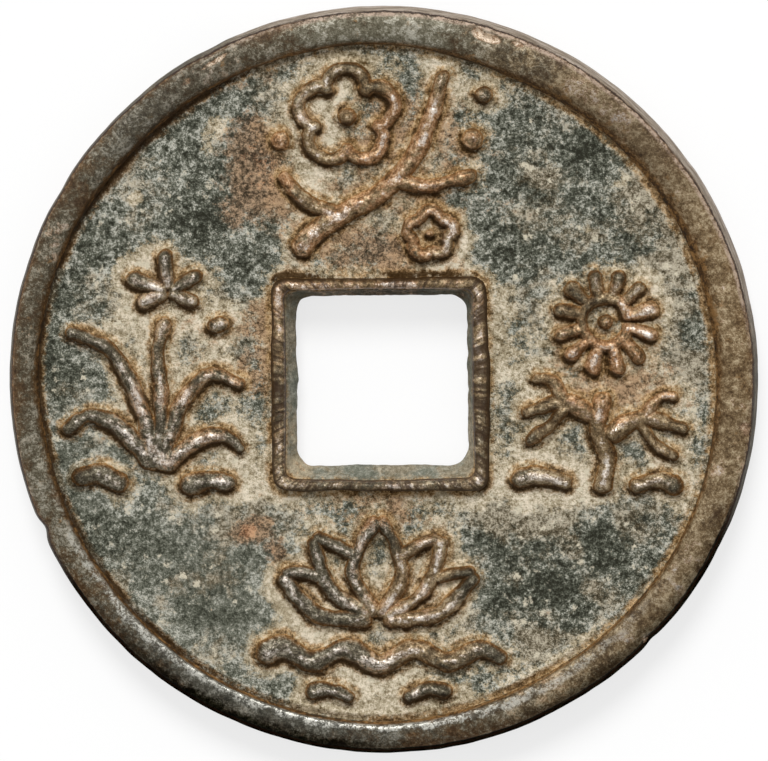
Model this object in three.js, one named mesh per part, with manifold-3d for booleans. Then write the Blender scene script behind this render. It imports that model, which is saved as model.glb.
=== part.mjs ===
// A large cast bronze cash coin with a square hole, lying flat with its front face up.
// Millimetres, +Z up. The origin is on the table, under the middle of the coin's outline.
// A real coin is one casting. Here each named feature of that casting is a mesh of its own, and
// they meet face to face: the outer rim, the thin web inside it, the raised frames round the hole
// and, on the front, four reliefs of the flowers of the four seasons.
import * as THREE from "three";
import { mergeVertices } from "three/addons/utils/BufferGeometryUtils.js";
import Module from "manifold-3d";

const wasm = await Module();
wasm.setup();

// Driving sizes of the blank
const DIAMETER = 35.0; // the widest part of the edge
const THICKNESS = 2.6; // over the outer rim
const FRONT_RECESS = 0.72; // from the top of the rim down to the front field
const BACK_RECESS = 0.55;
const FRONT_BEVEL = 0.32; // how far the front of the edge draws in from the widest part
const BACK_BEVEL = 0.22;
const EDGE_BAND = 0.5; // height of the upright band left on the edge between its bevels
const FACE_ROUND = 0.2; // the worn corner between the flat of a rim and the bevel outside it
const FIELD_DIAMETER = 31.4; // the front field, wall to wall
const BACK_FIELD_DIAMETER = 30.2;
const RIM_WALL_DRAFT = 0.22; // how far a rim's inner wall leans back over its height
const DESIGN_SHIFT = new THREE.Vector2(-0.23, -0.05); // the mould's design sits off the outline's middle

// The square hole
const HOLE_THROAT = 7.95; // flat to flat at its narrowest
const HOLE_MOUTH_FRONT = 9.0;
const HOLE_MOUTH_BACK = 8.6;
const THROAT_CORNER = 0.85; // corner radius
const MOUTH_CORNER = 0.4;
const THROAT_SHARE = 0.45; // of the web's thickness, up from the back
const HOLE_TURN = THREE.MathUtils.degToRad(0.6); // the hole was set a little askew in the mould
const HOLE_SHIFT = new THREE.Vector2(-0.17, -0.1); // its mouths and frames, off the outline's middle
const THROAT_SHIFT = new THREE.Vector2(-0.07, -0.02); // the throat was trimmed off centre in its mouths

// The raised frames round the hole
const FRAME_WIDTH = 0.58;
const FRONT_FRAME_HEIGHT = 0.62;
const BACK_FRAME_WIDTH = 0.9;
const BACK_FRAME_HEIGHT = 0.45;

// The reliefs are drawn on a grid that cuts the band of bare field between the rims in ten.
const GRID = 10;
const RELIEF_MARGIN = 0.45; // bare field left between the grid and the rims
const LINE_WEIGHT = 1.18; // width of a full-weight line at its foot, in grid squares
const LINE_HEIGHT = 0.56;
const THIN_LINE_LIFT = 0.35; // how much less a thin line loses of its height than of its weight
const LINE_END_HEIGHT = 0.4; // share of its height that a line still has where its round end starts

// How finely the forms are faceted
const ROUND_SIDES = 96;
const BOSS_SIDES = 10;
const CORNER_STEPS = 4;
const LINE_STEP = 0.5; // length of one facet along a line
const END_STEPS = [0.12, 0.45, 1]; // where the rounded end of a line has its sections, in half widths
const CUTTER_OVERRUN = 0.2; // how far a cutter runs past the face it opens

const fieldTop = THICKNESS - FRONT_RECESS;
const fieldBottom = BACK_RECESS;
const frontFrameSide = HOLE_MOUTH_FRONT + FRAME_WIDTH;
const backFrameSide = HOLE_MOUTH_BACK + BACK_FRAME_WIDTH;
const bandInner = (frontFrameSide + FRAME_WIDTH) / 2;
const bandOuter = FIELD_DIAMETER / 2;
const bandMiddle = (bandInner + bandOuter) / 2;
const unit = (bandOuter - bandInner - 2 * RELIEF_MARGIN) / GRID;
const lineWidth = LINE_WEIGHT * unit;

const materials = {
  rim: new THREE.MeshStandardMaterial({ color: 0x5c5348, roughness: 0.55, metalness: 0.6 }),
  web: new THREE.MeshStandardMaterial({ color: 0x77705f, roughness: 0.85, metalness: 0.2 }),
  relief: new THREE.MeshStandardMaterial({ color: 0x6b5140, roughness: 0.6, metalness: 0.5 }),
};

// Solids

function solidOf(geometry) {
  const bare = geometry.clone();
  bare.deleteAttribute("normal");
  bare.deleteAttribute("uv");
  const merged = mergeVertices(bare, 1e-4);
  const mesh = new wasm.Mesh({
    numProp: 3,
    vertProperties: merged.attributes.position.array,
    triVerts: new Uint32Array(merged.index.array),
  });
  return new wasm.Manifold(mesh);
}

function geometryOf(solid) {
  const mesh = solid.getMesh();
  const geometry = new THREE.BufferGeometry();
  geometry.setAttribute("position", new THREE.BufferAttribute(mesh.vertProperties, 3));
  geometry.setIndex(new THREE.BufferAttribute(mesh.triVerts, 1));
  geometry.computeVertexNormals();
  return geometry;
}

function joined(geometries) {
  return geometryOf(geometries.map(solidOf).reduce((whole, next) => whole.add(next)));
}

function cut(geometry, ...cutters) {
  return geometryOf(cutters.map(solidOf).reduce((left, next) => left.subtract(next), solidOf(geometry)));
}

// Sections, each a closed ring of points, skinned one to the next. A run of sections is closed by
// flat ends, or on itself when it goes round.
function skinned(sections, goesRound = false) {
  const count = sections[0].length;
  const positions = sections.flat().flatMap((p) => [p.x, p.y, p.z]);
  const index = [];
  const spans = goesRound ? sections.length : sections.length - 1;
  for (let i = 0; i < spans; i++) {
    const here = i * count;
    const there = ((i + 1) % sections.length) * count;
    for (let j = 0; j < count; j++) {
      const k = (j + 1) % count;
      index.push(here + j, there + j, there + k, here + j, there + k, here + k);
    }
  }
  if (!goesRound) {
    const last = (sections.length - 1) * count;
    for (let j = 1; j < count - 1; j++) {
      index.push(0, j, j + 1, last, last + j + 1, last + j);
    }
  }
  const geometry = new THREE.BufferGeometry();
  geometry.setAttribute("position", new THREE.Float32BufferAttribute(positions, 3));
  geometry.setIndex(index);
  return geometry;
}

// The cross-section of a raised line: across is -1 to 1 of the half width, up is 0 to 1 of the height.
const LINE_SECTION = [
  [-1, 0],
  [-0.74, 0.62],
  [-0.3, 1],
  [0.3, 1],
  [0.74, 0.62],
  [1, 0],
];

function lineSection(at, along, width, height, foot) {
  const side = new THREE.Vector2(-along.y, along.x);
  return LINE_SECTION.map(([across, up]) => {
    const shift = (across * width) / 2;
    return new THREE.Vector3(at.x + side.x * shift, at.y + side.y * shift, foot + up * height);
  });
}

// A raised line on the front field: a rounded ridge along a curve, with rounded ends, whose weight
// goes evenly from its start to its end.
function line(curve, startWeight, endWeight = startWeight) {
  const length = curve.getLength();
  const ends = [startWeight, endWeight].map((weight) => (lineWidth * weight) / 2);
  const inner = Math.max(2, Math.ceil((length - ends[0] - ends[1]) / LINE_STEP));
  const stations = [
    ...END_STEPS.map((s) => ({ at: s * ends[0], end: s })),
    ...Array.from({ length: inner - 1 }, (_, i) => ({
      at: THREE.MathUtils.lerp(ends[0], length - ends[1], (i + 1) / inner),
      end: 1,
    })),
    ...END_STEPS.toReversed().map((s) => ({ at: length - s * ends[1], end: s })),
  ];
  const sections = stations.map(({ at, end }) => {
    const share = at / length;
    const roundness = Math.sqrt(1 - (1 - end) ** 2);
    const weight = THREE.MathUtils.lerp(startWeight, endWeight, share);
    const width = lineWidth * weight * roundness;
    const fullHeight = LINE_HEIGHT * Math.min(1, weight + THIN_LINE_LIFT);
    const height = fullHeight * THREE.MathUtils.lerp(LINE_END_HEIGHT, 1, roundness);
    return lineSection(curve.getPointAt(share), curve.getTangentAt(share), width, height, fieldTop);
  });
  return skinned(sections);
}

// The places that make up one relief: a grid whose middle is midway between the rims, turned
// upright in each of the four directions from the hole.
function reliefPlace(direction) {
  const middle = new THREE.Vector2(Math.cos(direction), Math.sin(direction));
  middle.multiplyScalar(bandMiddle).add(DESIGN_SHIFT);
  return (x, y) => new THREE.Vector2(middle.x + x * unit, middle.y + y * unit);
}

function through(place, ...points) {
  return new THREE.SplineCurve(points.map(([x, y]) => place(x, y)));
}

function arc(place, [x, y], radius, fromDegrees, toDegrees) {
  const middle = place(x, y);
  const [from, to] = [fromDegrees, toDegrees].map(THREE.MathUtils.degToRad);
  return new THREE.EllipseCurve(middle.x, middle.y, radius * unit, radius * unit, from, to);
}

// A round boss, such as the heart of a flower or a bud
function boss(place, [x, y], radius, height = LINE_HEIGHT) {
  const middle = place(x, y);
  const flank = LINE_SECTION.filter(([across]) => across > 0).reverse();
  const profile = [[0, 0], ...flank, [0, 1]].map(
    ([across, up]) => new THREE.Vector2(across * radius * unit, up * height),
  );
  const geometry = new THREE.LatheGeometry(profile, BOSS_SIDES);
  geometry.rotateX(Math.PI / 2);
  geometry.translate(middle.x, middle.y, fieldTop);
  return geometry;
}

// Five scalloped petals round a heart
function fivePetals(place, [x, y], size, turnDegrees) {
  const petals = [];
  for (let k = 0; k < 5; k++) {
    const facing = turnDegrees + 72 * k;
    const angle = THREE.MathUtils.degToRad(facing);
    const heart = [x + 0.6 * size * Math.cos(angle), y + 0.6 * size * Math.sin(angle)];
    petals.push(line(arc(place, heart, 0.42 * size, facing - 118, facing + 118), 0.6));
  }
  return joined(petals);
}

// Straight rays from one radius to another, joined by a ring at their inner ends
function rayedHead(place, [x, y], innerRadius, outerRadius, count, turnDegrees) {
  const rays = [line(arc(place, [x, y], innerRadius, 0, 180), 0.55)];
  rays.push(line(arc(place, [x, y], innerRadius, 170, 370), 0.55));
  for (let k = 0; k < count; k++) {
    const angle = THREE.MathUtils.degToRad(turnDegrees + (360 / count) * k);
    const ray = [innerRadius, outerRadius].map((r) => [x + r * Math.cos(angle), y + r * Math.sin(angle)]);
    rays.push(line(through(place, ...ray), 0.5, 0.78));
  }
  return joined(rays);
}

// Reliefs

const reliefs = {};

function plumBranch() {
  const place = reliefPlace(Math.PI / 2);
  reliefs.plum_branch = joined([
    line(through(place, [-4.0, -4.6], [-2.3, -2.9], [0.1, -1.6], [2.0, 0.7], [3.2, 4.3]), 1.0, 0.65),
    line(through(place, [-1.9, -2.6], [-3.6, -1.9], [-4.7, -0.6]), 0.75, 0.55),
    line(through(place, [0.6, -0.9], [2.6, -1.2], [4.7, -0.6]), 0.75, 0.55),
  ]);
  reliefs.plum_blossom = fivePetals(place, [-1.5, 2.1], 2.3, 90);
  reliefs.plum_blossom_heart = boss(place, [-1.5, 2.1], 0.5);
  reliefs.plum_side_blossom = fivePetals(place, [2.5, -3.5], 1.1, 20);
  reliefs.plum_side_heart = boss(place, [2.5, -3.5], 0.24);
  reliefs.plum_bud_left = boss(place, [-4.7, 0.95], 0.62);
  reliefs.plum_bud_right = boss(place, [4.5, 1.0], 0.6);
  reliefs.plum_bud_top = boss(place, [5.0, 3.1], 0.48);
}

function chrysanthemum() {
  const place = reliefPlace(0);
  reliefs.chrysanthemum_head = rayedHead(place, [0.2, 2.95], 1.15, 2.7, 12, 15);
  reliefs.chrysanthemum_heart = boss(place, [0.2, 2.95], 0.42);
  reliefs.chrysanthemum_stem = joined([
    line(through(place, [0.2, -0.4], [-0.2, -2.0], [0.3, -3.6], [0.0, -5.3]), 0.85),
    line(through(place, [-0.1, -1.8], [-1.8, -0.9], [-3.8, -1.5]), 0.95, 0.5),
    line(through(place, [-1.7, -1.0], [-2.4, 0.1], [-3.3, 0.3]), 0.6, 0.5),
    line(through(place, [-1.6, -1.0], [-2.5, -2.1], [-3.6, -2.9]), 0.6, 0.5),
    line(through(place, [0.1, -2.7], [2.0, -1.7], [4.2, -2.2]), 0.95, 0.5),
    line(through(place, [2.0, -1.8], [2.7, -0.8], [3.7, -0.6]), 0.6, 0.5),
    line(through(place, [1.8, -1.8], [2.7, -3.0], [3.8, -3.6]), 0.6, 0.5),
  ]);
  reliefs.chrysanthemum_ground = line(
    through(place, [-4.4, -4.6], [-2.9, -4.5], [-1.3, -4.9]),
    1.0,
    0.7,
  );
  reliefs.chrysanthemum_soil = line(through(place, [1.3, -5.0], [2.8, -4.7], [4.0, -5.1]), 0.7, 0.9);
}

function lotus() {
  const place = reliefPlace(-Math.PI / 2);
  reliefs.lotus_flower = joined([
    line(through(place, [0, -0.6], [-1.15, 1.4], [-0.75, 3.0], [0, 4.2]), 0.7, 0.6),
    line(through(place, [0, -0.6], [1.15, 1.4], [0.75, 3.0], [0, 4.2]), 0.7, 0.6),
    line(through(place, [-0.2, -0.6], [-2.3, 0.7], [-3.1, 3.3]), 0.8, 0.6),
    line(through(place, [0.2, -0.6], [2.3, 0.7], [3.1, 3.3]), 0.8, 0.6),
    line(through(place, [-3.1, 3.3], [-1.9, 2.8], [-1.0, 2.2]), 0.6),
    line(through(place, [3.1, 3.3], [1.9, 2.8], [1.0, 2.2]), 0.6),
    line(through(place, [-0.2, -0.7], [-2.9, -0.5], [-4.7, 1.5]), 0.85, 0.6),
    line(through(place, [0.2, -0.7], [2.9, -0.5], [4.7, 1.5]), 0.85, 0.6),
    line(through(place, [-4.7, 1.5], [-3.6, 1.5], [-2.6, 1.2]), 0.6),
    line(through(place, [4.7, 1.5], [3.6, 1.5], [2.6, 1.2]), 0.6),
  ]);
  reliefs.lotus_wave = line(
    through(
      place,
      [-5.8, -2.7],
      [-4.6, -2.1],
      [-3.1, -2.8],
      [-1.5, -2.2],
      [0.1, -2.9],
      [1.7, -2.2],
      [3.3, -2.8],
      [4.9, -2.2],
      [6.2, -2.8],
    ),
    1.05,
    0.8,
  );
  reliefs.lotus_ripple_left = line(through(place, [-3.6, -4.3], [-2.4, -4.12], [-1.1, -4.6]), 0.8, 0.6);
  reliefs.lotus_ripple_right = line(through(place, [1.1, -4.6], [2.4, -4.12], [3.6, -4.3]), 0.6, 0.8);
}

function orchid() {
  const place = reliefPlace(Math.PI);
  reliefs.orchid_leaves = joined([
    line(through(place, [0.0, -4.4], [-0.7, -1.2], [-2.2, 1.5], [-4.3, 2.4]), 0.95, 0.55),
    line(through(place, [0.1, -4.4], [1.1, -1.4], [2.6, 0.3], [4.3, -0.2]), 0.95, 0.55),
    line(through(place, [-0.1, -4.3], [-1.5, -2.4], [-3.2, -1.6], [-4.4, -2.5]), 0.9, 0.55),
    line(through(place, [0.2, -4.3], [1.8, -2.9], [3.2, -2.6], [4.3, -3.4]), 0.9, 0.55),
    line(through(place, [0.0, -4.0], [0.3, -1.0], [0.1, 1.2], [0.5, 3.1]), 0.8, 0.6),
  ]);
  const flower = [];
  for (const [degrees, length] of [
    [95, 2.1],
    [28, 2.0],
    [160, 2.1],
    [-22, 1.7],
    [208, 1.7],
  ]) {
    const angle = THREE.MathUtils.degToRad(degrees);
    const tip = [0.6 + length * Math.cos(angle), 4.35 + length * Math.sin(angle)];
    flower.push(line(through(place, [0.6, 4.35], tip), 0.55, 0.85));
  }
  reliefs.orchid_flower = joined(flower);
  reliefs.orchid_bud = line(through(place, [2.5, 2.6], [3.6, 2.9]), 0.6, 0.9);
  reliefs.orchid_ground_left = line(through(place, [-4.0, -4.8], [-2.6, -4.5], [-1.2, -5.2]), 0.75, 0.95);
  reliefs.orchid_ground_right = line(through(place, [1.2, -5.2], [2.6, -4.7], [3.9, -5.0]), 0.95, 0.75);
}

// The blank

// Points round a square with rounded corners, anticlockwise from the middle of the +X side.
function roundedSquare(side, corner, shift = HOLE_SHIFT) {
  const flat = side / 2 - corner;
  const points = [];
  for (let quarter = 0; quarter < 4; quarter++) {
    const turn = (quarter * Math.PI) / 2;
    const about = (x, y) => new THREE.Vector2(x, y).rotateAround(new THREE.Vector2(), turn);
    points.push(about(side / 2, 0));
    for (let step = 0; step <= CORNER_STEPS; step++) {
      const angle = (step * Math.PI) / (2 * CORNER_STEPS);
      points.push(about(flat + corner * Math.cos(angle), flat + corner * Math.sin(angle)));
    }
  }
  return points.map((p) => p.rotateAround(new THREE.Vector2(), HOLE_TURN).add(shift));
}

function holeCutter() {
  const throat = fieldBottom + THROAT_SHARE * (fieldTop - fieldBottom);
  const levels = [
    [fieldBottom - CUTTER_OVERRUN, HOLE_MOUTH_BACK, MOUTH_CORNER],
    [fieldBottom, HOLE_MOUTH_BACK, MOUTH_CORNER],
    [throat, HOLE_THROAT, THROAT_CORNER, THROAT_SHIFT],
    [fieldTop, HOLE_MOUTH_FRONT, MOUTH_CORNER],
    [fieldTop + CUTTER_OVERRUN, HOLE_MOUTH_FRONT, MOUTH_CORNER],
  ];
  return skinned(
    levels.map(([z, side, corner, shift]) =>
      roundedSquare(side, corner, shift)
        .map((p) => new THREE.Vector3(p.x, p.y, z))
        .reverse(),
    ),
  );
}

function turned(profile) {
  const geometry = new THREE.LatheGeometry(
    profile.map(([r, z]) => new THREE.Vector2(r, z)),
    ROUND_SIDES,
  );
  geometry.rotateX(Math.PI / 2);
  return geometry;
}

function web() {
  const disc = turned([
    [0, fieldBottom],
    [bandOuter, fieldBottom],
    [bandOuter, fieldTop],
    [0, fieldTop],
  ]);
  disc.translate(DESIGN_SHIFT.x, DESIGN_SHIFT.y, 0);
  return cut(disc, holeCutter());
}

// The outer rim is the whole edge of the coin, with the web's seat and both recesses cut out of it.
function outerRim() {
  const widest = DIAMETER / 2;
  const bandLow = (THICKNESS - EDGE_BAND) / 2;
  const bandHigh = (THICKNESS + EDGE_BAND) / 2;
  const blank = turned([
    [0, 0],
    [widest - BACK_BEVEL - FACE_ROUND, 0],
    [widest - BACK_BEVEL, FACE_ROUND],
    [widest, bandLow],
    [widest, bandHigh],
    [widest - FRONT_BEVEL, THICKNESS - FACE_ROUND],
    [widest - FRONT_BEVEL - FACE_ROUND, THICKNESS],
    [0, THICKNESS],
  ]);
  const backWall = BACK_FIELD_DIAMETER / 2;
  const backDraft = (RIM_WALL_DRAFT * (BACK_RECESS + CUTTER_OVERRUN)) / BACK_RECESS;
  const frontDraft = (RIM_WALL_DRAFT * (FRONT_RECESS + CUTTER_OVERRUN)) / FRONT_RECESS;
  const hollow = turned([
    [0, -CUTTER_OVERRUN],
    [backWall + backDraft, -CUTTER_OVERRUN],
    [backWall, fieldBottom],
    [bandOuter, fieldBottom],
    [bandOuter, fieldTop],
    [bandOuter + frontDraft, THICKNESS + CUTTER_OVERRUN],
    [0, THICKNESS + CUTTER_OVERRUN],
  ]);
  hollow.translate(DESIGN_SHIFT.x, DESIGN_SHIFT.y, 0);
  return cut(blank, hollow);
}

// A raised frame round the hole: the same rounded section as a line, carried round a square.
function frame(side, width, height, foot) {
  const corner = MOUTH_CORNER + width / 2;
  const path = roundedSquare(side, corner);
  const sections = path.map((at, i) => {
    const before = path[(i + path.length - 1) % path.length];
    const after = path[(i + 1) % path.length];
    return lineSection(at, after.clone().sub(before).normalize(), width, height, foot);
  });
  if (height < 0) {
    sections.forEach((section) => section.reverse());
  }
  return skinned(sections, true);
}

// Assembly

const coin = new THREE.Group();

function add(name, geometry, material) {
  const mesh = new THREE.Mesh(geometry, material);
  mesh.name = name;
  coin.add(mesh);
}

add("outer_rim", outerRim(), materials.rim);
add("web", web(), materials.web);
add("front_frame", frame(frontFrameSide, FRAME_WIDTH, FRONT_FRAME_HEIGHT, fieldTop), materials.rim);
add("back_frame", frame(backFrameSide, BACK_FRAME_WIDTH, -BACK_FRAME_HEIGHT, fieldBottom), materials.rim);

plumBranch();
chrysanthemum();
lotus();
orchid();
for (const [name, geometry] of Object.entries(reliefs)) {
  add(name, geometry, materials.relief);
}

export default coin;
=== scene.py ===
# %% [markdown]
# A large cast bronze coin with a square hole, lying on a pale table with its front face up.
# It came out of a sand mould many centuries ago, so nothing on it is quite straight:
# the rims wander, the lines of the ornament are worn round, and dirt and rust have settled in
# every corner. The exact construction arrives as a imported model. Here each of its pieces is
# made again as a fine surface worked out with numpy, in the same places and sizes, and given
# the bronze, patina and crust that the real coin shows.

# %% Load the exact construction
import math

import bpy
import numpy as np
from mathutils import Matrix, Vector


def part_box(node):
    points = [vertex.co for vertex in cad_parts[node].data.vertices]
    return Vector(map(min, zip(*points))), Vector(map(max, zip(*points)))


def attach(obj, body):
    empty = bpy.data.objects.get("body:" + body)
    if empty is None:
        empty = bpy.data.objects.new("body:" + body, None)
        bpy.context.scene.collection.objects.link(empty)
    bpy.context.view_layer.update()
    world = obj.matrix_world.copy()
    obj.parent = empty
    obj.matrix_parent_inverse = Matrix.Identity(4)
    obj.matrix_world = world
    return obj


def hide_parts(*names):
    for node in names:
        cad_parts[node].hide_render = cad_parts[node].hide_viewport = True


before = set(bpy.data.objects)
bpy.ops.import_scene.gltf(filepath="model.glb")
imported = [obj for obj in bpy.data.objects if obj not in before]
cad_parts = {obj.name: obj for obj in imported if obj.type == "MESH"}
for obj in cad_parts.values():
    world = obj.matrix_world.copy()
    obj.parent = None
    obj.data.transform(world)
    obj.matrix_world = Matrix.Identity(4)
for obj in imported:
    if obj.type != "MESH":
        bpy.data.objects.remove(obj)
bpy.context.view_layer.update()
print("construction nodes:", len(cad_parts))

# %% [markdown]
# Everything below is worked out in millimetres, because that is how a coin is measured, and is
# turned to metres only when a mesh is made. The few sizes that matter are read from the
# construction, so that the fine surfaces always lie on it.

# %% The sizes of the blank, in millimetres
MM = 0.001


def box_mm(node):
    """The lowest and highest corner of a construction node, in millimetres."""
    low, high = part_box(node)
    return np.array(low) / MM, np.array(high) / MM


rim_low, rim_high = box_mm("outer_rim")
web_low, web_high = box_mm("web")
front_frame_low, front_frame_high = box_mm("front_frame")
back_frame_low, _ = box_mm("back_frame")

COIN_RADIUS = (rim_high[0] - rim_low[0]) / 2
COIN_THICKNESS = rim_high[2]
FIELD_TOP = web_high[2]
FIELD_BOTTOM = web_low[2]
FIELD_RADIUS = (web_high[0] - web_low[0]) / 2
BACK_FIELD_RADIUS = 15.1
DESIGN_MIDDLE = (web_low[:2] + web_high[:2]) / 2
HOLE_MIDDLE = (front_frame_low[:2] + front_frame_high[:2]) / 2
THROAT_MIDDLE = HOLE_MIDDLE + np.array([0.1, 0.08])  # trimmed off centre in its mouths
HOLE_TURN = math.radians(0.6)
FRONT_MOUTH = 9.0
BACK_MOUTH = 8.6
THROAT = 7.95
FRONT_FRAME_WIDTH = 0.58
BACK_FRAME_WIDTH = 0.9
MOUTH_CORNER = 0.42  # radius of the corners of both mouths
FRAME_CORNER = 0.7  # and of the frames' outer corners
print("radius", COIN_RADIUS, "thickness", COIN_THICKNESS, "field", FIELD_BOTTOM, FIELD_TOP)
print("design's middle", DESIGN_MIDDLE, "hole's middle", HOLE_MIDDLE)

# %% [markdown]
# The photograph looks almost straight down on the coin. More of the hole's lower and left
# walls shows than of the others, so the lens stood a little above and to the right of the
# coin's axis. A long lens from far away keeps the outline round. The camera's own axes are
# written out, because a camera that looks straight down has no natural way up.

# %% Camera
PHOTO_WIDTH = 768
PHOTO_HEIGHT = 761
COIN_MIDDLE_PX = (383.65, 379.9)
PIXEL = 0.04664  # millimetres on the coin for each pixel of the photograph
CAMERA_DISTANCE = 420.0
LEAN_RIGHT = math.radians(2.3)
LEAN_UP = math.radians(5.6)

camera_data = bpy.data.cameras.new("camera")
camera = bpy.data.objects.new("camera", camera_data)
bpy.context.scene.collection.objects.link(camera)
bpy.context.scene.camera = camera

back = Vector((math.tan(LEAN_RIGHT), math.tan(LEAN_UP), 1)).normalized()
right = Vector((0, 1, 0)).cross(back).normalized()
up = back.cross(right)
aim_x = (PHOTO_WIDTH / 2 - COIN_MIDDLE_PX[0]) * PIXEL
aim_y = (COIN_MIDDLE_PX[1] - PHOTO_HEIGHT / 2) * PIXEL
aim = right * aim_x + up * aim_y + Vector((0, 0, COIN_THICKNESS / 2))
camera.matrix_world = Matrix.Translation((aim + back * CAMERA_DISTANCE) * MM) @ Matrix(
    (right, up, back)
).transposed().to_4x4()
camera_data.lens = camera_data.sensor_width * CAMERA_DISTANCE / (PHOTO_WIDTH * PIXEL)
camera_data.clip_start = 0.01
camera_data.clip_end = 10
print("lens", round(camera_data.lens), "mm")

# %% [markdown]
# Materials and the world are built from nodes with a few small helpers: one adds a node and
# sets or links its inputs, one makes a noise whose size is given in millimetres, and one turns
# a noise into colours. Blender's noise gathers round one half, the more so the more octaves
# it adds up, so it is stretched until it fills the range from 0 to 1. Most of the rest is
# plain arithmetic on noises and on the numbers that a mesh carries at its vertices.


# %% Helpers for nodes
def rgb(red, green, blue):
    """A colour given as on a screen, 0 to 255, as the linear colour that a shader needs."""
    share = np.array([red, green, blue]) / 255
    linear = np.where(share <= 0.04045, share / 12.92, ((share + 0.055) / 1.055) ** 2.4)
    return (*map(float, linear), 1.0)


class Nodes:
    """The node tree of a material or a world, with short calls for what this coin needs."""

    def __init__(self, owner):
        owner.use_nodes = True
        self.owner = owner
        self.tree = owner.node_tree
        self.tree.nodes.clear()
        self.marks_read = {}

    def add(self, kind, inputs=None, **settings):
        made = self.tree.nodes.new(kind)
        for key, value in settings.items():
            setattr(made, key, value)
        for key, value in (inputs or {}).items():
            if isinstance(value, bpy.types.NodeSocket):
                self.tree.links.new(value, made.inputs[key])
            else:
                made.inputs[key].default_value = value
        return made

    def place(self, stretch, shift):
        """Object coordinates, stretched and moved."""
        at = self.add("ShaderNodeTexCoord").outputs["Object"]
        inputs = {0: at, 1: stretch, 2: shift}
        return self.add("ShaderNodeVectorMath", inputs, operation="MULTIPLY_ADD").outputs[0]

    def mark(self, name):
        """A number that the mesh carries at its vertices. Each is read by one node."""
        if name not in self.marks_read:
            made = self.add("ShaderNodeAttribute", attribute_name=name)
            self.marks_read[name] = made.outputs["Fac"]
        return self.marks_read[name]

    def sums(self, operation, a, b=0.0, c=0.0):
        made = self.add("ShaderNodeMath", {0: a, 1: b, 2: c}, operation=operation)
        return made.outputs[0]

    def times(self, *values):
        """The product of two or more values."""
        product = values[0]
        for value in values[1:]:
            product = self.sums("MULTIPLY", product, value)
        return product

    def scaled(self, value, factor, offset):
        """value * factor + offset."""
        return self.sums("MULTIPLY_ADD", value, factor, offset)

    def nudged(self, value, noise, amount):
        """The value, moved up and down by a noise: value + amount * (noise - 1/2)."""
        return self.sums("ADD", value, self.scaled(noise, amount, -amount / 2))

    def spread(self, value, low, high, to_low=0.0, to_high=1.0):
        """Maps low..high to to_low..to_high along an S-shaped curve and holds it there beyond."""
        inputs = {"Value": value, 1: low, 2: high, 3: to_low, 4: to_high}
        made = self.add("ShaderNodeMapRange", inputs, interpolation_type="SMOOTHSTEP")
        return made.outputs["Result"]

    def noise(self, size, detail, roughness, seed=0, stretch=(1, 1, 1)):
        """A noise from 0 to 1 whose largest lumps are about size millimetres across. Octave i
        has the weight roughness**i, so the sum spreads by the root of the summed squares over
        the sum, and the noise is stretched by twice the inverse of that."""
        weights = [roughness**octave for octave in range(detail + 1)]
        gain = 2 * sum(weights) / math.sqrt(sum(weight * weight for weight in weights))
        shift = (0.0137 * seed, 0.0071 * seed, 0.0193 * seed)
        inputs = {
            "Vector": self.place(stretch, shift),
            "Scale": 1 / (size * MM),
            "Detail": detail,
            "Roughness": roughness,
        }
        made = self.add("ShaderNodeTexNoise", inputs, noise_dimensions="3D")
        stretched = {"Value": made.outputs[0], 1: 0.5 - 0.5 / gain, 2: 0.5 + 0.5 / gain}
        return self.add("ShaderNodeMapRange", stretched, clamp=False).outputs[0]

    def specks(self, size, noise):
        """Round specks, one in about every cube of the given size, their edges broken by noise."""
        at = self.place((1, 1, 1), (0.0031, 0.0017, 0.0023))
        cells = self.add("ShaderNodeTexVoronoi", {"Vector": at, "Scale": 1 / (size * MM)})
        return self.spread(self.nudged(cells.outputs["Distance"], noise, -0.3), 0.3, 0.18)

    def ramp(self, value, *stops):
        """Colours at given places from 0 to 1, each stop (place, red, green, blue). Values
        beyond either end come in along a soft shoulder, so no flat patches are left."""
        made = self.add("ShaderNodeValToRGB", {0: self.spread(value, -0.3, 1.3)})
        elements = made.color_ramp.elements
        while len(elements) < len(stops):
            elements.new(0.5)
        for element, (place, *colour) in zip(elements, stops):
            element.position = place
            element.color = rgb(*colour)
        return made.outputs[0]

    def blend(self, share, a, b):
        """The colour a, going over to b as share goes from 0 to 1."""
        made = self.add("ShaderNodeMix", {0: share, 6: a, 7: b}, data_type="RGBA")
        return made.outputs[2]

    def bump(self, height, depth):
        """Stands height, 0 to 1, depth millimetres proud of the surface."""
        return self.add("ShaderNodeBump", {"Height": height, "Distance": depth * MM}).outputs[0]

    def seen_directly(self):
        """1 for rays from the camera and for those mirrored by metal, and 0 for the light that
        the surroundings shed."""
        path = self.add("ShaderNodeLightPath").outputs
        glossy = self.sums("ADD", path["Is Glossy Ray"], path["Is Transmission Ray"])
        return self.sums("ADD", path["Is Camera Ray"], glossy)


def new_material(name):
    return Nodes(bpy.data.materials.new(name))


print("a middling slate in linear colour:", [round(v, 3) for v in rgb(77, 79, 67)])

# %% [markdown]
# The light in the photograph is soft and comes from the top of the picture, with plenty of
# fill. A wide sun stands in for the lamp, because it lights a floor of any size evenly, and
# the world gives the fill. The world is brighter on the lamp's side, as in a room with one
# window. Lamp and world add up to about one on a level surface, so a colour renders about as
# it is written. What the camera and polished metal see of the world is plain white.

# %% Lamp and world
SUN_ELEVATION = math.radians(46)
SUN_HEADING = math.radians(96)  # from +X towards +Y: the top of the picture
SUN_LIGHT = 0.56  # on a level surface
SUN_WIDTH = math.radians(22)
FILL_LIGHT = 0.34  # the middle brightness of the world
FILL_SWING = 0.30  # how much brighter it is towards the window, and darker away from it
WINDOW = Vector((-0.1, 0.8, 0.6)).normalized()

scene = bpy.context.scene
scene.view_settings.view_transform = "Standard"

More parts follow.
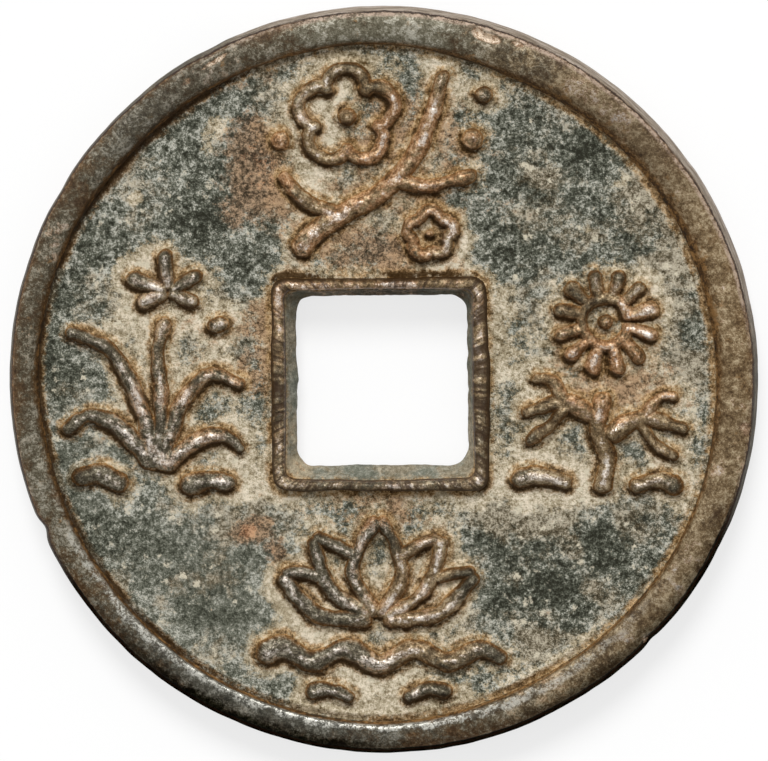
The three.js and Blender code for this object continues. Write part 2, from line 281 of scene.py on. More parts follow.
sun_data = bpy.data.lights.new("lamp", "SUN")
sun_data.energy = SUN_LIGHT * math.pi / math.sin(SUN_ELEVATION)
sun_data.angle = SUN_WIDTH
sun = bpy.data.objects.new("lamp", sun_data)
scene.collection.objects.link(sun)
level = math.cos(SUN_ELEVATION)
towards_sun = Vector(
    (math.cos(SUN_HEADING) * level, math.sin(SUN_HEADING) * level, math.sin(SUN_ELEVATION))
)
sun.rotation_mode = "QUATERNION"
sun.rotation_quaternion = towards_sun.to_track_quat("Z", "Y")

scene.world = bpy.data.worlds.new("studio")
room = Nodes(scene.world)
heading = room.add("ShaderNodeTexCoord").outputs["Generated"]
facing = room.add(
    "ShaderNodeVectorMath", {0: heading, 1: tuple(WINDOW)}, operation="DOT_PRODUCT"
).outputs["Value"]
strength = room.scaled(facing, FILL_SWING, FILL_LIGHT)
fill = room.add("ShaderNodeBackground", {"Color": (1, 1, 1, 1), "Strength": strength})
white = room.add("ShaderNodeBackground", {"Color": (1, 1, 1, 1), "Strength": 1.0})
both = room.add(
    "ShaderNodeMixShader", {0: room.seen_directly(), 1: fill.outputs[0], 2: white.outputs[0]}
)
room.add("ShaderNodeOutputWorld", {"Surface": both.outputs[0]})
level_light = SUN_LIGHT + FILL_LIGHT + FILL_SWING * WINDOW.z * 2 / 3
print("light on a level surface", round(level_light, 2))

# %% [markdown]
# The floor is a pale board that keeps the coin's shadow. Rays that see it directly get most of
# their light from a plain white glow, so that it reads as the white of the photograph and the
# shadow is as faint as there.

# %% Floor
FLOOR_SIZE = 6.0  # metres
FLOOR_COLOUR = 0.88
FLOOR_GLOW = 1.05
GLOW_SHARE = 0.7


def floor_material():
    """A plain diffuse white, mixed with a white glow for what is seen directly."""
    n = new_material("floor_white")
    board = n.add("ShaderNodeBsdfDiffuse", {"Color": (FLOOR_COLOUR,) * 3 + (1,)})
    glow = n.add("ShaderNodeEmission", {"Strength": FLOOR_GLOW})
    share = n.times(n.seen_directly(), GLOW_SHARE)
    both = n.add("ShaderNodeMixShader", {0: share, 1: board.outputs[0], 2: glow.outputs[0]})
    n.add("ShaderNodeOutputMaterial", {"Surface": both.outputs[0]})
    return n.owner


bpy.ops.mesh.primitive_plane_add(size=FLOOR_SIZE)
floor_board = bpy.context.object
floor_board.name = "floor_board"
floor_board.data.materials.append(floor_material())
print("floor", FLOOR_SIZE, "m square")

# %% [markdown]
# Every surface needs a little unevenness that is the same on neighbouring pieces, so it is
# worked out from the place in space. Random numbers sit at the corners of a grid of cubes,
# made from the corner's own whole numbers, and a point between takes a smooth blend of the
# eight corners round it. A few such noises, each half as large and half as strong as the last,
# make a cast skin.


# %% Noise in space
def corner_value(i, j, k, seed):
    """A repeatable random number from -1 to 1 for each whole-number corner: the three numbers
    are multiplied by large odd numbers, added, and their bits are mixed twice."""
    mixed = (i * 374761393 + j * 668265263 + k * 974634777 + seed * 144269504) & 0xFFFFFFFF
    mixed = ((mixed ^ (mixed >> 13)) * 1274126177) & 0xFFFFFFFF
    return ((mixed ^ (mixed >> 16)) & 0xFFFF) / 32767.5 - 1


def noise(points, size, seed, octaves=1):
    """Noise from about -1 to 1 at points (..., 3), with lumps of the given size: the sum over
    octaves of the smooth blend of the eight corners round a point, each octave half the last."""
    total = np.zeros(points.shape[:-1])
    for octave in range(octaves):
        at = points * (2**octave / size)
        corner = np.floor(at).astype(np.int64)
        share = at - corner
        share = share * share * (3 - 2 * share)
        value = 0.0
        for di in (0, 1):
            for dj in (0, 1):
                for dk in (0, 1):
                    weight = (
                        np.abs(1 - di - share[..., 0])
                        * np.abs(1 - dj - share[..., 1])
                        * np.abs(1 - dk - share[..., 2])
                    )
                    i, j, k = (corner[..., a] + d for a, d in enumerate((di, dj, dk)))
                    value = value + weight * corner_value(i, j, k, seed + octave)
        total += value * 0.5**octave
    return total


def flat_points(x, y):
    return np.stack([x, y, np.zeros_like(x)], axis=-1)


print("noise test", noise(np.zeros((1, 3)) + 0.3, 1.0, 1).round(3))

# %% [markdown]
# A coin with a hole is a ring, and so is each of its parts: the rim, the field, the raised
# frame and the wall of the hole each have a closed section that goes round the hole and meets
# itself. One function therefore makes them all from a grid of points that is closed both ways.
# The ornaments are the other kind: a patch cut from a square grid, with a top, a flat
# underside sunk in the field, and walls between them.


# %% From arrays to meshes
def mesh_piece(name, vertices, faces, attributes, material, replaced):
    """A mesh from vertices in millimetres (n, 3) and quads (m, 4), shaded smooth, with a number
    for each vertex in every named attribute. It rides on the coin's one body."""
    corners = vertices[faces]
    volume = np.einsum(
        "ij,ij->i", corners[:, 0], np.cross(corners[:, 1], corners[:, 2])
    ).sum() + np.einsum("ij,ij->i", corners[:, 0], np.cross(corners[:, 2], corners[:, 3])).sum()
    if volume < 0:
        faces = faces[:, ::-1]
    mesh = bpy.data.meshes.new(name)
    mesh.vertices.add(len(vertices))
    mesh.vertices.foreach_set("co", (vertices * MM).astype(np.float32).ravel())
    mesh.loops.add(faces.size)
    mesh.loops.foreach_set("vertex_index", faces.astype(np.int32).ravel())
    mesh.polygons.add(len(faces))
    mesh.polygons.foreach_set("loop_start", np.arange(0, faces.size, 4, dtype=np.int32))
    mesh.polygons.foreach_set("use_smooth", np.ones(len(faces), dtype=bool))
    mesh.update(calc_edges=True)
    for key, values in attributes.items():
        layer = mesh.attributes.new(key, "FLOAT", "POINT")
        layer.data.foreach_set("value", values.astype(np.float32).ravel())
    mesh.materials.append(material)
    piece = bpy.data.objects.new(name, mesh)
    scene.collection.objects.link(piece)
    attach(piece, "root")
    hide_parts(*replaced)
    print(name, 2 * len(faces), "triangles")
    return piece


def ring_piece(name, points, attributes, material, replaced):
    """A grid of points (around, section, 3) that closes on itself both ways, as a mesh. A mark
    may be one number, a column for the way round, or a number for every point."""
    around, section = points.shape[:2]
    marks = {key: np.broadcast_to(v, (around, section)) for key, v in attributes.items()}
    index = np.arange(around * section).reshape(around, section)
    quads = np.stack(
        [
            index,
            np.roll(index, -1, axis=0),
            np.roll(np.roll(index, -1, axis=0), -1, axis=1),
            np.roll(index, -1, axis=1),
        ],
        axis=-1,
    ).reshape(-1, 4)
    return mesh_piece(name, points.reshape(-1, 3), quads, marks, material, replaced)


def without_corner_contacts(keep):
    """Fills one cell wherever two kept cells touch only at a corner, until none do, because a
    wall there would belong to two bodies."""
    while True:
        a, b = keep[:-1, :-1], keep[1:, 1:]
        c, d = keep[:-1, 1:], keep[1:, :-1]
        falling = a & b & ~c & ~d
        rising = c & d & ~a & ~b
        if not (falling.any() or rising.any()):
            return keep
        keep[:-1, 1:] |= falling
        keep[:-1, :-1] |= rising


def patch_piece(name, x, y, top, bottom, keep, attributes, material, replaced):
    """The kept cells of a square grid as a closed body: the top surface, the same cells again at
    the bottom height, and a wall wherever a kept cell has no kept neighbour."""
    keep = without_corner_contacts(keep.copy())
    rows, columns = x.shape
    index = np.arange(rows * columns).reshape(rows, columns)
    a, b = index[:-1, :-1], index[1:, :-1]
    c, d = index[1:, 1:], index[:-1, 1:]
    under = rows * columns
    cells = np.stack([a, b, c, d], axis=-1)[keep]
    padded = np.pad(keep, 1)
    walls = []
    for shift, start, end in (
        ((-1, 0), d, a),
        ((1, 0), b, c),
        ((0, -1), a, b),
        ((0, 1), c, d),
    ):
        beside = padded[1 + shift[0] : rows + shift[0], 1 + shift[1] : columns + shift[1]]
        open_side = keep & ~beside
        s, e = start[open_side], end[open_side]
        walls.append(np.stack([e, s, s + under, e + under], axis=-1))
    quads = np.concatenate([cells, cells[:, ::-1] + under, *walls])
    used, quads = np.unique(quads, return_inverse=True)
    quads = quads.reshape(-1, 4)
    high = np.stack([x, y, top], axis=-1).reshape(-1, 3)
    low = np.stack([x, y, np.full_like(x, bottom)], axis=-1).reshape(-1, 3)
    vertices = np.concatenate([high, low])[used]
    numbers = {k: np.concatenate([v.ravel(), v.ravel()])[used] for k, v in attributes.items()}
    return mesh_piece(name, vertices, quads, numbers, material, replaced)


corner_test = np.array([[True, False], [False, True]])
print("cells kept where two touch at a corner:", without_corner_contacts(corner_test).sum())


# %% [markdown]
# The ornament: plum blossom above the hole, chrysanthemum to its right, lotus over water
# below and orchid to its left, the flowers of winter, autumn, summer and spring. Each line is
# a smooth curve through a few points of a grid whose unit is a tenth of the band between the
# frame and the rim, as in the construction. A line's weight goes evenly from its start to its
# end.

# %% The grid that the ornament is drawn on
RELIEF_MARGIN = 0.45
BAND_INNER = FRONT_MOUTH / 2 + FRONT_FRAME_WIDTH
BAND_MIDDLE = (BAND_INNER + FIELD_RADIUS) / 2
UNIT = (FIELD_RADIUS - BAND_INNER - 2 * RELIEF_MARGIN) / 10
LINE_WIDTH = 1.18 * UNIT
LINE_HEIGHT = 0.56
STEP = 0.12  # millimetres between the points kept along a line
print("the grid's unit is", round(UNIT, 3), "mm, a line is", round(LINE_WIDTH, 2), "mm wide")


# %% Curves on the grid

def smooth_curve(points):
    """A curve through all the points: between two of them it is the cubic that leaves and
    arrives along half the chord of their neighbours, with the end points counted twice."""
    p = np.array([points[0], *points, points[-1]], float)
    t = np.linspace(0, 1, 24, endpoint=False)[:, None]
    pieces = []
    for before, a, b, after in zip(p, p[1:], p[2:], p[3:]):
        leave, arrive = (b - before) / 2, (after - a) / 2
        pieces.append(
            (2 * a - 2 * b + leave + arrive) * t**3
            + (-3 * a + 3 * b - 2 * leave - arrive) * t**2
            + leave * t
            + a
        )
    return np.concatenate([*pieces, p[-1:]])


def arc(middle, radius, start, end):
    """Part of a circle, from one angle to another in degrees."""
    angle = np.radians(np.linspace(start, end, 48))[:, None]
    return np.array(middle) + radius * np.concatenate([np.cos(angle), np.sin(angle)], axis=1)


def line(curve, start_weight, end_weight=None):
    """A line of the ornament: its curve on the grid and its weight at either end."""
    return (np.array(curve, float), start_weight, end_weight or start_weight)


def boss(middle, radius):
    """A round bud or heart: a very short line, as wide as the boss."""
    weight = 2 * radius / 1.18
    return (np.array([middle, (middle[0] + 0.01, middle[1])], float), weight, weight)


def five_petals(middle, size, turn):
    """Five scallops round a heart, each an arc that is open towards it."""
    petals = []
    for facing in turn + 72 * np.arange(5):
        way = np.array([math.cos(math.radians(facing)), math.sin(math.radians(facing))])
        heart = np.array(middle) + 0.6 * size * way
        petals.append(line(arc(heart, 0.42 * size, facing - 118, facing + 118), 0.6))
    return petals


def rays(middle, inner, outer, turns, start_weight, end_weight):
    """Straight lines out of a middle, one for each angle in degrees."""
    made = []
    for turn in turns:
        way = np.array([math.cos(math.radians(turn)), math.sin(math.radians(turn))])
        ends = [np.array(middle) + inner * way, np.array(middle) + outer * way]
        made.append(line(smooth_curve(ends), start_weight, end_weight))
    return made


def through(*points):
    return smooth_curve(points)


def mirrored(*points):
    """The same curve on both sides of the middle line."""
    return [through(*points), through(*((-x, y) for x, y in points))]


print("a smooth curve through 3 points has", len(through((0, 0), (1, 1), (2, 0))), "steps")

# %% Plum, above the hole
PLUM = {
    "plum_branch": [
        line(through((-4.0, -4.6), (-2.3, -2.9), (0.1, -1.6), (2.0, 0.7), (3.2, 4.3)), 1.0, 0.65),
        line(through((-1.9, -2.6), (-3.6, -1.9), (-4.7, -0.6)), 0.75, 0.55),
        line(through((0.6, -0.9), (2.6, -1.2), (4.7, -0.6)), 0.75, 0.55),
    ],
    "plum_blossom": five_petals((-1.5, 2.1), 2.3, 90),
    "plum_blossom_heart": [boss((-1.5, 2.1), 0.5)],
    "plum_side_blossom": five_petals((2.5, -3.5), 1.1, 20),
    "plum_side_heart": [boss((2.5, -3.5), 0.24)],
    "plum_bud_left": [boss((-4.7, 0.95), 0.62)],
    "plum_bud_right": [boss((4.5, 1.0), 0.6)],
    "plum_bud_top": [boss((5.0, 3.1), 0.48)],
}
print("plum:", sum(map(len, PLUM.values())), "lines")

# %% Chrysanthemum, right of the hole
CHRYSANTHEMUM = {
    "chrysanthemum_head": [
        line(arc((0.2, 2.95), 1.15, 0, 360), 0.55),
        *rays((0.2, 2.95), 1.15, 2.7, 15 + 30 * np.arange(12), 0.5, 0.78),
    ],
    "chrysanthemum_heart": [boss((0.2, 2.95), 0.42)],
    "chrysanthemum_stem": [
        line(through((0.2, -0.4), (-0.2, -2.0), (0.3, -3.6), (0.0, -5.3)), 0.85),
        line(through((-0.1, -1.8), (-1.8, -0.9), (-3.8, -1.5)), 0.95, 0.5),
        line(through((-1.7, -1.0), (-2.4, 0.1), (-3.3, 0.3)), 0.6, 0.5),
        line(through((-1.6, -1.0), (-2.5, -2.1), (-3.6, -2.9)), 0.6, 0.5),
        line(through((0.1, -2.7), (2.0, -1.7), (4.2, -2.2)), 0.95, 0.5),
        line(through((2.0, -1.8), (2.7, -0.8), (3.7, -0.6)), 0.6, 0.5),
        line(through((1.8, -1.8), (2.7, -3.0), (3.8, -3.6)), 0.6, 0.5),
    ],
    "chrysanthemum_ground": [line(through((-4.4, -4.6), (-2.9, -4.5), (-1.3, -4.9)), 1.0, 0.7)],
    "chrysanthemum_soil": [line(through((1.3, -5.0), (2.8, -4.7), (4.0, -5.1)), 0.7, 0.9)],
}
print("chrysanthemum:", sum(map(len, CHRYSANTHEMUM.values())), "lines")

# %% Lotus over water, below the hole
LOTUS = {
    "lotus_flower": [
        *(line(c, 0.7, 0.6) for c in mirrored((0, -0.6), (1.15, 1.4), (0.75, 3.0), (0, 4.2))),
        *(line(c, 0.8, 0.6) for c in mirrored((0.2, -0.6), (2.3, 0.7), (3.1, 3.3))),
        *(line(c, 0.6) for c in mirrored((3.1, 3.3), (1.9, 2.8), (1.0, 2.2))),
        *(line(c, 0.85, 0.6) for c in mirrored((0.2, -0.7), (2.9, -0.5), (4.7, 1.5))),
        *(line(c, 0.6) for c in mirrored((4.7, 1.5), (3.6, 1.5), (2.6, 1.2))),
    ],
    "lotus_wave": [
        line(
            through(
                (-5.8, -2.7),
                (-4.6, -2.1),
                (-3.1, -2.8),
                (-1.5, -2.2),
                (0.1, -2.9),
                (1.7, -2.2),
                (3.3, -2.8),
                (4.9, -2.2),
                (6.2, -2.8),
            ),
            1.05,
            0.8,
        )
    ],
    "lotus_ripple_left": [line(through((-3.6, -4.3), (-2.4, -4.12), (-1.1, -4.6)), 0.8, 0.6)],
    "lotus_ripple_right": [line(through((1.1, -4.6), (2.4, -4.12), (3.6, -4.3)), 0.6, 0.8)],
}
print("lotus:", sum(map(len, LOTUS.values())), "lines")

# %% Orchid, left of the hole
ORCHID_HEART = (0.6, 4.35)
ORCHID = {
    "orchid_leaves": [
        line(through((0.0, -4.4), (-0.7, -1.2), (-2.2, 1.5), (-4.3, 2.4)), 0.95, 0.55),
        line(through((0.1, -4.4), (1.1, -1.4), (2.6, 0.3), (4.3, -0.2)), 0.95, 0.55),
        line(through((-0.1, -4.3), (-1.5, -2.4), (-3.2, -1.6), (-4.4, -2.5)), 0.9, 0.55),
        line(through((0.2, -4.3), (1.8, -2.9), (3.2, -2.6), (4.3, -3.4)), 0.9, 0.55),
        line(through((0.0, -4.0), (0.3, -1.0), (0.1, 1.2), (0.5, 3.1)), 0.8, 0.6),
    ],
    "orchid_flower": [
        *rays(ORCHID_HEART, 0, 2.1, (95, 160), 0.55, 0.85),
        *rays(ORCHID_HEART, 0, 2.0, (28,), 0.55, 0.85),
        *rays(ORCHID_HEART, 0, 1.7, (-22, 208), 0.55, 0.85),
    ],
    "orchid_bud": [line(through((2.5, 2.6), (3.6, 2.9)), 0.6, 0.9)],
    "orchid_ground_left": [line(through((-4.0, -4.8), (-2.6, -4.5), (-1.2, -5.2)), 0.75, 0.95)],
    "orchid_ground_right": [line(through((1.2, -5.2), (2.6, -4.7), (3.9, -5.0)), 0.95, 0.75)],
}
print("orchid:", sum(map(len, ORCHID.values())), "lines")

# %% [markdown]
# On the coin a line keeps its rounded ends inside the length of its curve. So each curve is
# cut back by half its own width at both ends, and a circle of that size is drawn round every
# point left. The band of all those circles is the line. Its half width and its height go with
# the weight, and a hand that cuts a mould lets the width swell and shrink a little.

# %% Lines placed on the coin


def placed(strokes, direction):
    """Each line as points on the coin in millimetres, with the half width and height at each:
    the grid's point times the unit, moved to the middle of the band in the given direction."""
    angle = math.radians(direction)
    middle = DESIGN_MIDDLE + BAND_MIDDLE * np.array([math.cos(angle), math.sin(angle)])
    made = []
    for curve, start_weight, end_weight in strokes:
        points = middle + curve * UNIT
        gone = np.concatenate([[0], np.hypot(*np.diff(points, axis=0).T).cumsum()])
        length = gone[-1]
        start_cut = min(LINE_WIDTH * start_weight / 2, 0.45 * length)
        end_cut = min(LINE_WIDTH * end_weight / 2, 0.45 * length)
        count = max(2, int((length - start_cut - end_cut) / STEP))
        at = np.linspace(start_cut, length - end_cut, count)
        weight = start_weight + (end_weight - start_weight) * at / length
        x, y = np.interp(at, gone, points[:, 0]), np.interp(at, gone, points[:, 1])
        swell = 1 + 0.13 * noise(flat_points(x, y), 0.8, 17, 2)
        made.append(
            {
                "x": x,
                "y": y,
                "half": LINE_WIDTH * weight * swell / 2,
                "height": LINE_HEIGHT * np.minimum(1, weight + 0.35),
            }
        )
    return made


RELIEFS = {}
for flower, direction in ((PLUM, 90), (CHRYSANTHEMUM, 0), (LOTUS, -90), (ORCHID, 180)):
    for node, strokes in flower.items():
        RELIEFS[node] = placed(strokes, direction)
print(len(RELIEFS), "ornaments,", sum(len(r) for r in RELIEFS.values()), "lines")

# %% [markdown]
# Three distances steer everything that follows. One is how far a place on the field lies from
# the nearest line of the ornament, below zero inside the line. The others are how far it lies
# from the frame round the hole and from the outer rim. Dirt, rust and crust gather by these.

# %% Distance to a line and to a square
CRUST_REACH = 1.6  # how far from a line its distance is still worked out


def crown(share):
    """Height over a line's width, from 0 at its edge to 1 at its middle: a quarter of a sine
    wave to the power 0.8, which is round on top and steep at the edge."""
    return np.sin(share * math.pi / 2) ** 0.8


def stroke_reach(x, y, strokes, reach):
    """For each place: the distance to the edge of the nearest line, up to reach, and how high
    that line stands there. The distance to a line is the least over its points of the distance
    to the point less the half width there."""
    edge = np.full(x.shape, reach)
    height = np.zeros(x.shape)
    for s in strokes:
        margin = reach + s["half"].max()
        near = (x > s["x"].min() - margin) & (x < s["x"].max() + margin)
        near &= (y > s["y"].min() - margin) & (y < s["y"].max() + margin)
        if not near.any():
            continue
        apart = np.hypot(x[near][:, None] - s["x"], y[near][:, None] - s["y"]) - s["half"]
        nearest = apart.argmin(axis=1)
        least = apart[np.arange(len(nearest)), nearest]
        inside = np.clip(-least / s["half"][nearest], 0, 1)
        edge[near] = np.minimum(edge[near], least)
        height[near] = np.maximum(height[near], s["height"][nearest] * crown(inside))
    return edge, height


def square_distance(x, y, side, corner, middle=HOLE_MIDDLE):
    """Signed distance to a square with rounded corners, turned with the hole: the distance to
    the smaller sharp square, less the corner's radius."""
    dx, dy = x - middle[0], y - middle[1]
    c, s = math.cos(HOLE_TURN), math.sin(HOLE_TURN)
    u = np.abs(c * dx + s * dy) - side / 2 + corner
    v = np.abs(-s * dx + c * dy) - side / 2 + corner
    outside = np.hypot(np.maximum(u, 0), np.maximum(v, 0))
    return outside + np.minimum(np.maximum(u, v), 0) - corner


print("height over a line, from edge to middle:", crown(np.linspace(0, 1, 5)).round(2))


# %% Unsteady lines and places round the coin
def wandered(x, y, amount=0.07, size=1.0, seed=31):
    """The same places moved a little by smooth noise, so that drawn lines come out unsteady."""
    p = flat_points(x, y)
    return x + amount * noise(p, size, seed, 3), y + amount * noise(p, size, seed + 7, 3)


def apart_degrees(angle, degrees):
    """How far an angle is from a place given in degrees, from -180 to 180."""
    return (np.degrees(angle) - degrees + 180) % 360 - 180


def bells(angle, *some):
    """A number that swells at some places round the coin: the sum of bells, each (degrees,
    half width in degrees, strength)."""
    total = np.zeros(np.shape(angle))
    for degrees, half_width, strength in some:
        total = total + strength * np.exp(-((apart_degrees(angle, degrees) / half_width) ** 2))
    return total


def rim_wander(angle):
    """Slow wander of a hand-cut circle, from about -1 to 1, by the angle round the coin."""
    around = np.stack([3 * np.cos(angle), 3 * np.sin(angle), 0 * angle], axis=-1)
    return noise(around, 1.3, 5, 3)


def rim_foot(angle):
    """Distance from the middle of the design to the rim's foot: nearly round, further in at
    the upper right and further out at the left and the bottom."""
    places = [(30, 12, -0.05), (66, 18, -0.22), (112, 16, -0.05), (172, 18, 0.16)]
    places += [(210, 12, -0.06), (240, 16, 0.08), (268, 24, 0.14), (322, 22, 0.09)]
    return FIELD_RADIUS + 0.07 * rim_wander(angle) + bells(angle, *places)


def rim_depth(angle):
    """How dark the corner at the rim's foot is, dirt and painted shade: most at the left and upper
    left.
    """
    places = [(175, 50, 0.7), (132, 22, 0.75), (224, 26, 0.55), (262, 22, 0.35), (34, 40, 0.32)]
    return 0.12 + bells(angle, *places)


print("the rim's foot every 60 degrees:", rim_foot(np.radians(np.arange(0, 360, 60))).round(2))


# %% Distances on the field
def line_distance(x, y):
    """Distance to the edge of the nearest line of any ornament, up to CRUST_REACH."""
    wx, wy = wandered(x, y)
    lines = np.full(x.shape, CRUST_REACH)
    for strokes in RELIEFS.values():
        lines = np.minimum(lines, stroke_reach(wx, wy, strokes, CRUST_REACH)[0])
    return lines


def under_a_line(x, y, lines, step=0.08):
    """1 just below a line of the ornament, in the picture's sense, and -1 just above it: how
    much nearer the line comes with a small step up the picture."""
    up_x, up_y = 0.35 * step, 0.94 * step
    return np.clip((lines - line_distance(x + up_x, y + up_y)) / step, -1, 1)


def field_distances(x, y):
    """Distance to the nearest ornament, to the frame's outer foot and to the rim's foot."""
    frame_side = FRONT_MOUTH + 2 * FRONT_FRAME_WIDTH
    to_frame = square_distance(x, y, frame_side, FRAME_CORNER)
    to_frame = to_frame + 0.03 * noise(flat_points(x, y), 0.7, 19, 2)
    dx, dy = x - DESIGN_MIDDLE[0], y - DESIGN_MIDDLE[1]
    to_rim = rim_foot(np.arctan2(dy, dx)) - np.hypot(dx, dy)
    return line_distance(x, y), to_frame, to_rim


halfway = [float(d[0]) for d in field_distances(np.array([0.0]), np.array([-BAND_MIDDLE]))]
print("below the hole, to a line, the frame and the rim:", [round(d, 2) for d in halfway])


# %% [markdown]
# The patina isn't even. Seen from far off it is a map: dark blue-grey where the bronze is
# bare of crust, pale earth round the ornament and the hole, a mauve-brown patch at upper left,
# a small orange one at lower left, and some rust. At lower left the slate is smooth and calm.
# The map is a handful of soft ellipses, given in millimetres from the coin's middle, and a
# material breaks their edges up with noise.

# %% The map of the patina
# Each patch: middle, half axes, turn in degrees, strength.
BARE_PATCHES = [
    ((8.6, 9.6), (5.0, 2.6), -42, 0.5),
    ((6.3, 6.6), (2.4, 1.6), 10, 0.6),
    ((-8.0, 8.6), (3.0, 1.6), 30, 0.95),
    ((-9.4, 11.2), (2.4, 0.8), 40, 0.2),
    ((-14.8, -2.4), (1.7, 6.8), 6, 2.0),
    ((-13.0, -6.0), (1.5, 1.6), 0, 0.4),
    ((-8.2, -10.4), (4.6, 2.4), -38, 0.58),
    ((12.9, 6.6), (1.2, 2.2), 0, 0.4),
    ((6.4, -9.8), (3.2, 2.4), 20, 1.5),
    ((9.4, -8.6), (3.0, 2.4), 50, 1.2),
    ((11.4, -6.2), (1.6, 0.9), 0, 0.8),
    ((-6.2, 9.6), (1.0, 1.2), 0, 0.4),
    ((14.2, 1.6), (0.8, 3.6), 4, 0.4),
    ((-6.0, 1.0), (0.8, 2.6), 0, 0.4),
    ((-11.8, -3.6), (2.0, 3.6), 0, 0.6),
]
PALE_PATCHES = [
    ((-2.5, -14.9), (2.2, 0.8), 8, 1.0),
    ((3.6, -14.9), (2.0, 0.6), -6, 0.7),
    ((7.4, -4.4), (2.2, 1.2), -8, 0.92),
    ((-6.6, -3.6), (0.8, 2.2), 0, 0.6),
    ((-2.7, 12.0), (0.9, 3.2), -10, 0.9),
    ((-2.9, -11.0), (1.5, 1.6), -30, 0.8),
    ((6.0, 1.8), (0.9, 2.4), 0, 0.7),
    ((3.4, 6.6), (1.2, 0.7), 0, 0.5),
    ((-11.5, 8.5), (0.5, 0.35), 30, 1.0),
    ((-8.2, 10.9), (0.35, 0.45), 0, 0.8),
    ((-13.2, -1.6), (0.5, 0.35), 40, 0.8),
    ((-7.6, -10.3), (0.4, 0.3), 0, 0.8),
    ((-9.6, -11.6), (3.4, 0.5), -42, 0.45),
    ((-11.4, 5.6), (1.4, 0.8), 20, 0.6),
    ((8.2, 7.6), (1.0, 0.6), 30, 0.5),
    ((-5.2, -10.2), (1.2, 1.0), 0, 0.4),
    ((-5.3, -7.1), (1.0, 0.7), -30, 0.35),
    ((0.0, -6.1), (3.6, 0.9), 0, 0.35),
    ((0.4, -15.3), (4.6, 0.7), 0, 0.7),
    ((-1.0, 14.9), (3.6, 0.5), 0, 0.6),
    ((9.2, -12.2), (3.4, 0.5), 38, 0.5),
    ((2.6, -9.4), (2.6, 2.4), 0, 0.35),
    ((-10.4, 10.0), (1.1, 0.8), 30, 0.5),
    ((-8.0, 11.8), (0.9, 0.7), 30, 0.75),
    ((-3.5, 10.2), (0.5, 2.0), -8, 0.7),
    ((8.1, 10.4), (0.9, 0.35), 45, 0.8),
    ((11.0, 9.4), (0.5, 0.6), -50, 0.8),
    ((9.6, 7.2), (0.35, 0.3), 0, 0.8),
]
RUST_PATCHES = [
    ((-5.7, 9.9), (1.9, 3.1), 20, 1.15),
    ((-6.4, 8.3), (2.4, 1.2), 30, 0.6),
    ((-6.0, -7.0), (1.3, 0.75), 12, 1.45),
    ((-5.1, -7.8), (0.7, 0.8), 0, 1.2),
    ((0.6, 10.0), (5.6, 5.2), 0, 0.7),
    ((-0.6, 6.2), (3.6, 1.3), 0, 1.0),
    ((-5.4, 14.2), (2.4, 0.4), 20, 0.8),
    ((10.6, 0.8), (3.4, 3.2), 0, 0.75),
    ((-5.9, 1.0), (1.3, 3.2), 0, 0.8),
    ((-0.2, -6.0), (3.6, 1.0), 0, 0.8),
    ((-9.0, -0.9), (3.4, 4.4), 0, 0.35),
    ((1.2, -9.8), (3.5, 3.6), 0, 0.4),
]
CALM_PATCHES = [
    ((-7.8, -9.8), (5.4, 4.0), -40, 1.0),
    ((-13.6, -3.8), (2.2, 5.0), 0, 0.6),
]
WARM_PATCHES = [
    ((0.6, 9.8), (6.8, 6.4), 0, 1.0),
    ((10.4, -0.4), (5.2, 7.0), 0, 0.9),
    ((2.6, -10.4), (4.2, 4.0), 0, 0.9),
    ((-9.6, 0.4), (4.0, 6.4), 0, 0.5),
    ((8.6, 8.6), (5.0, 4.0), 0, 0.5),
]


def patches(x, y, table):
    """The strongest patch at each place: its strength times a bell, flat near its middle, of
    the place measured in half axes along the patch's own turned axes."""
    strongest = np.zeros(x.shape)
    for (middle_x, middle_y), (half_x, half_y), turn, strength in table:
        dx, dy = x - middle_x, y - middle_y
        c, s = math.cos(math.radians(turn)), math.sin(math.radians(turn))
        u, v = (c * dx + s * dy) / half_x, (-s * dx + c * dy) / half_y
        strongest = np.maximum(strongest, strength * np.exp(-((u * u + v * v) ** 1.5)))
    return strongest


PATCH_TABLES = (BARE_PATCHES, PALE_PATCHES, RUST_PATCHES, CALM_PATCHES, WARM_PATCHES)
print("patches of patina:", sum(map(len, PATCH_TABLES)))
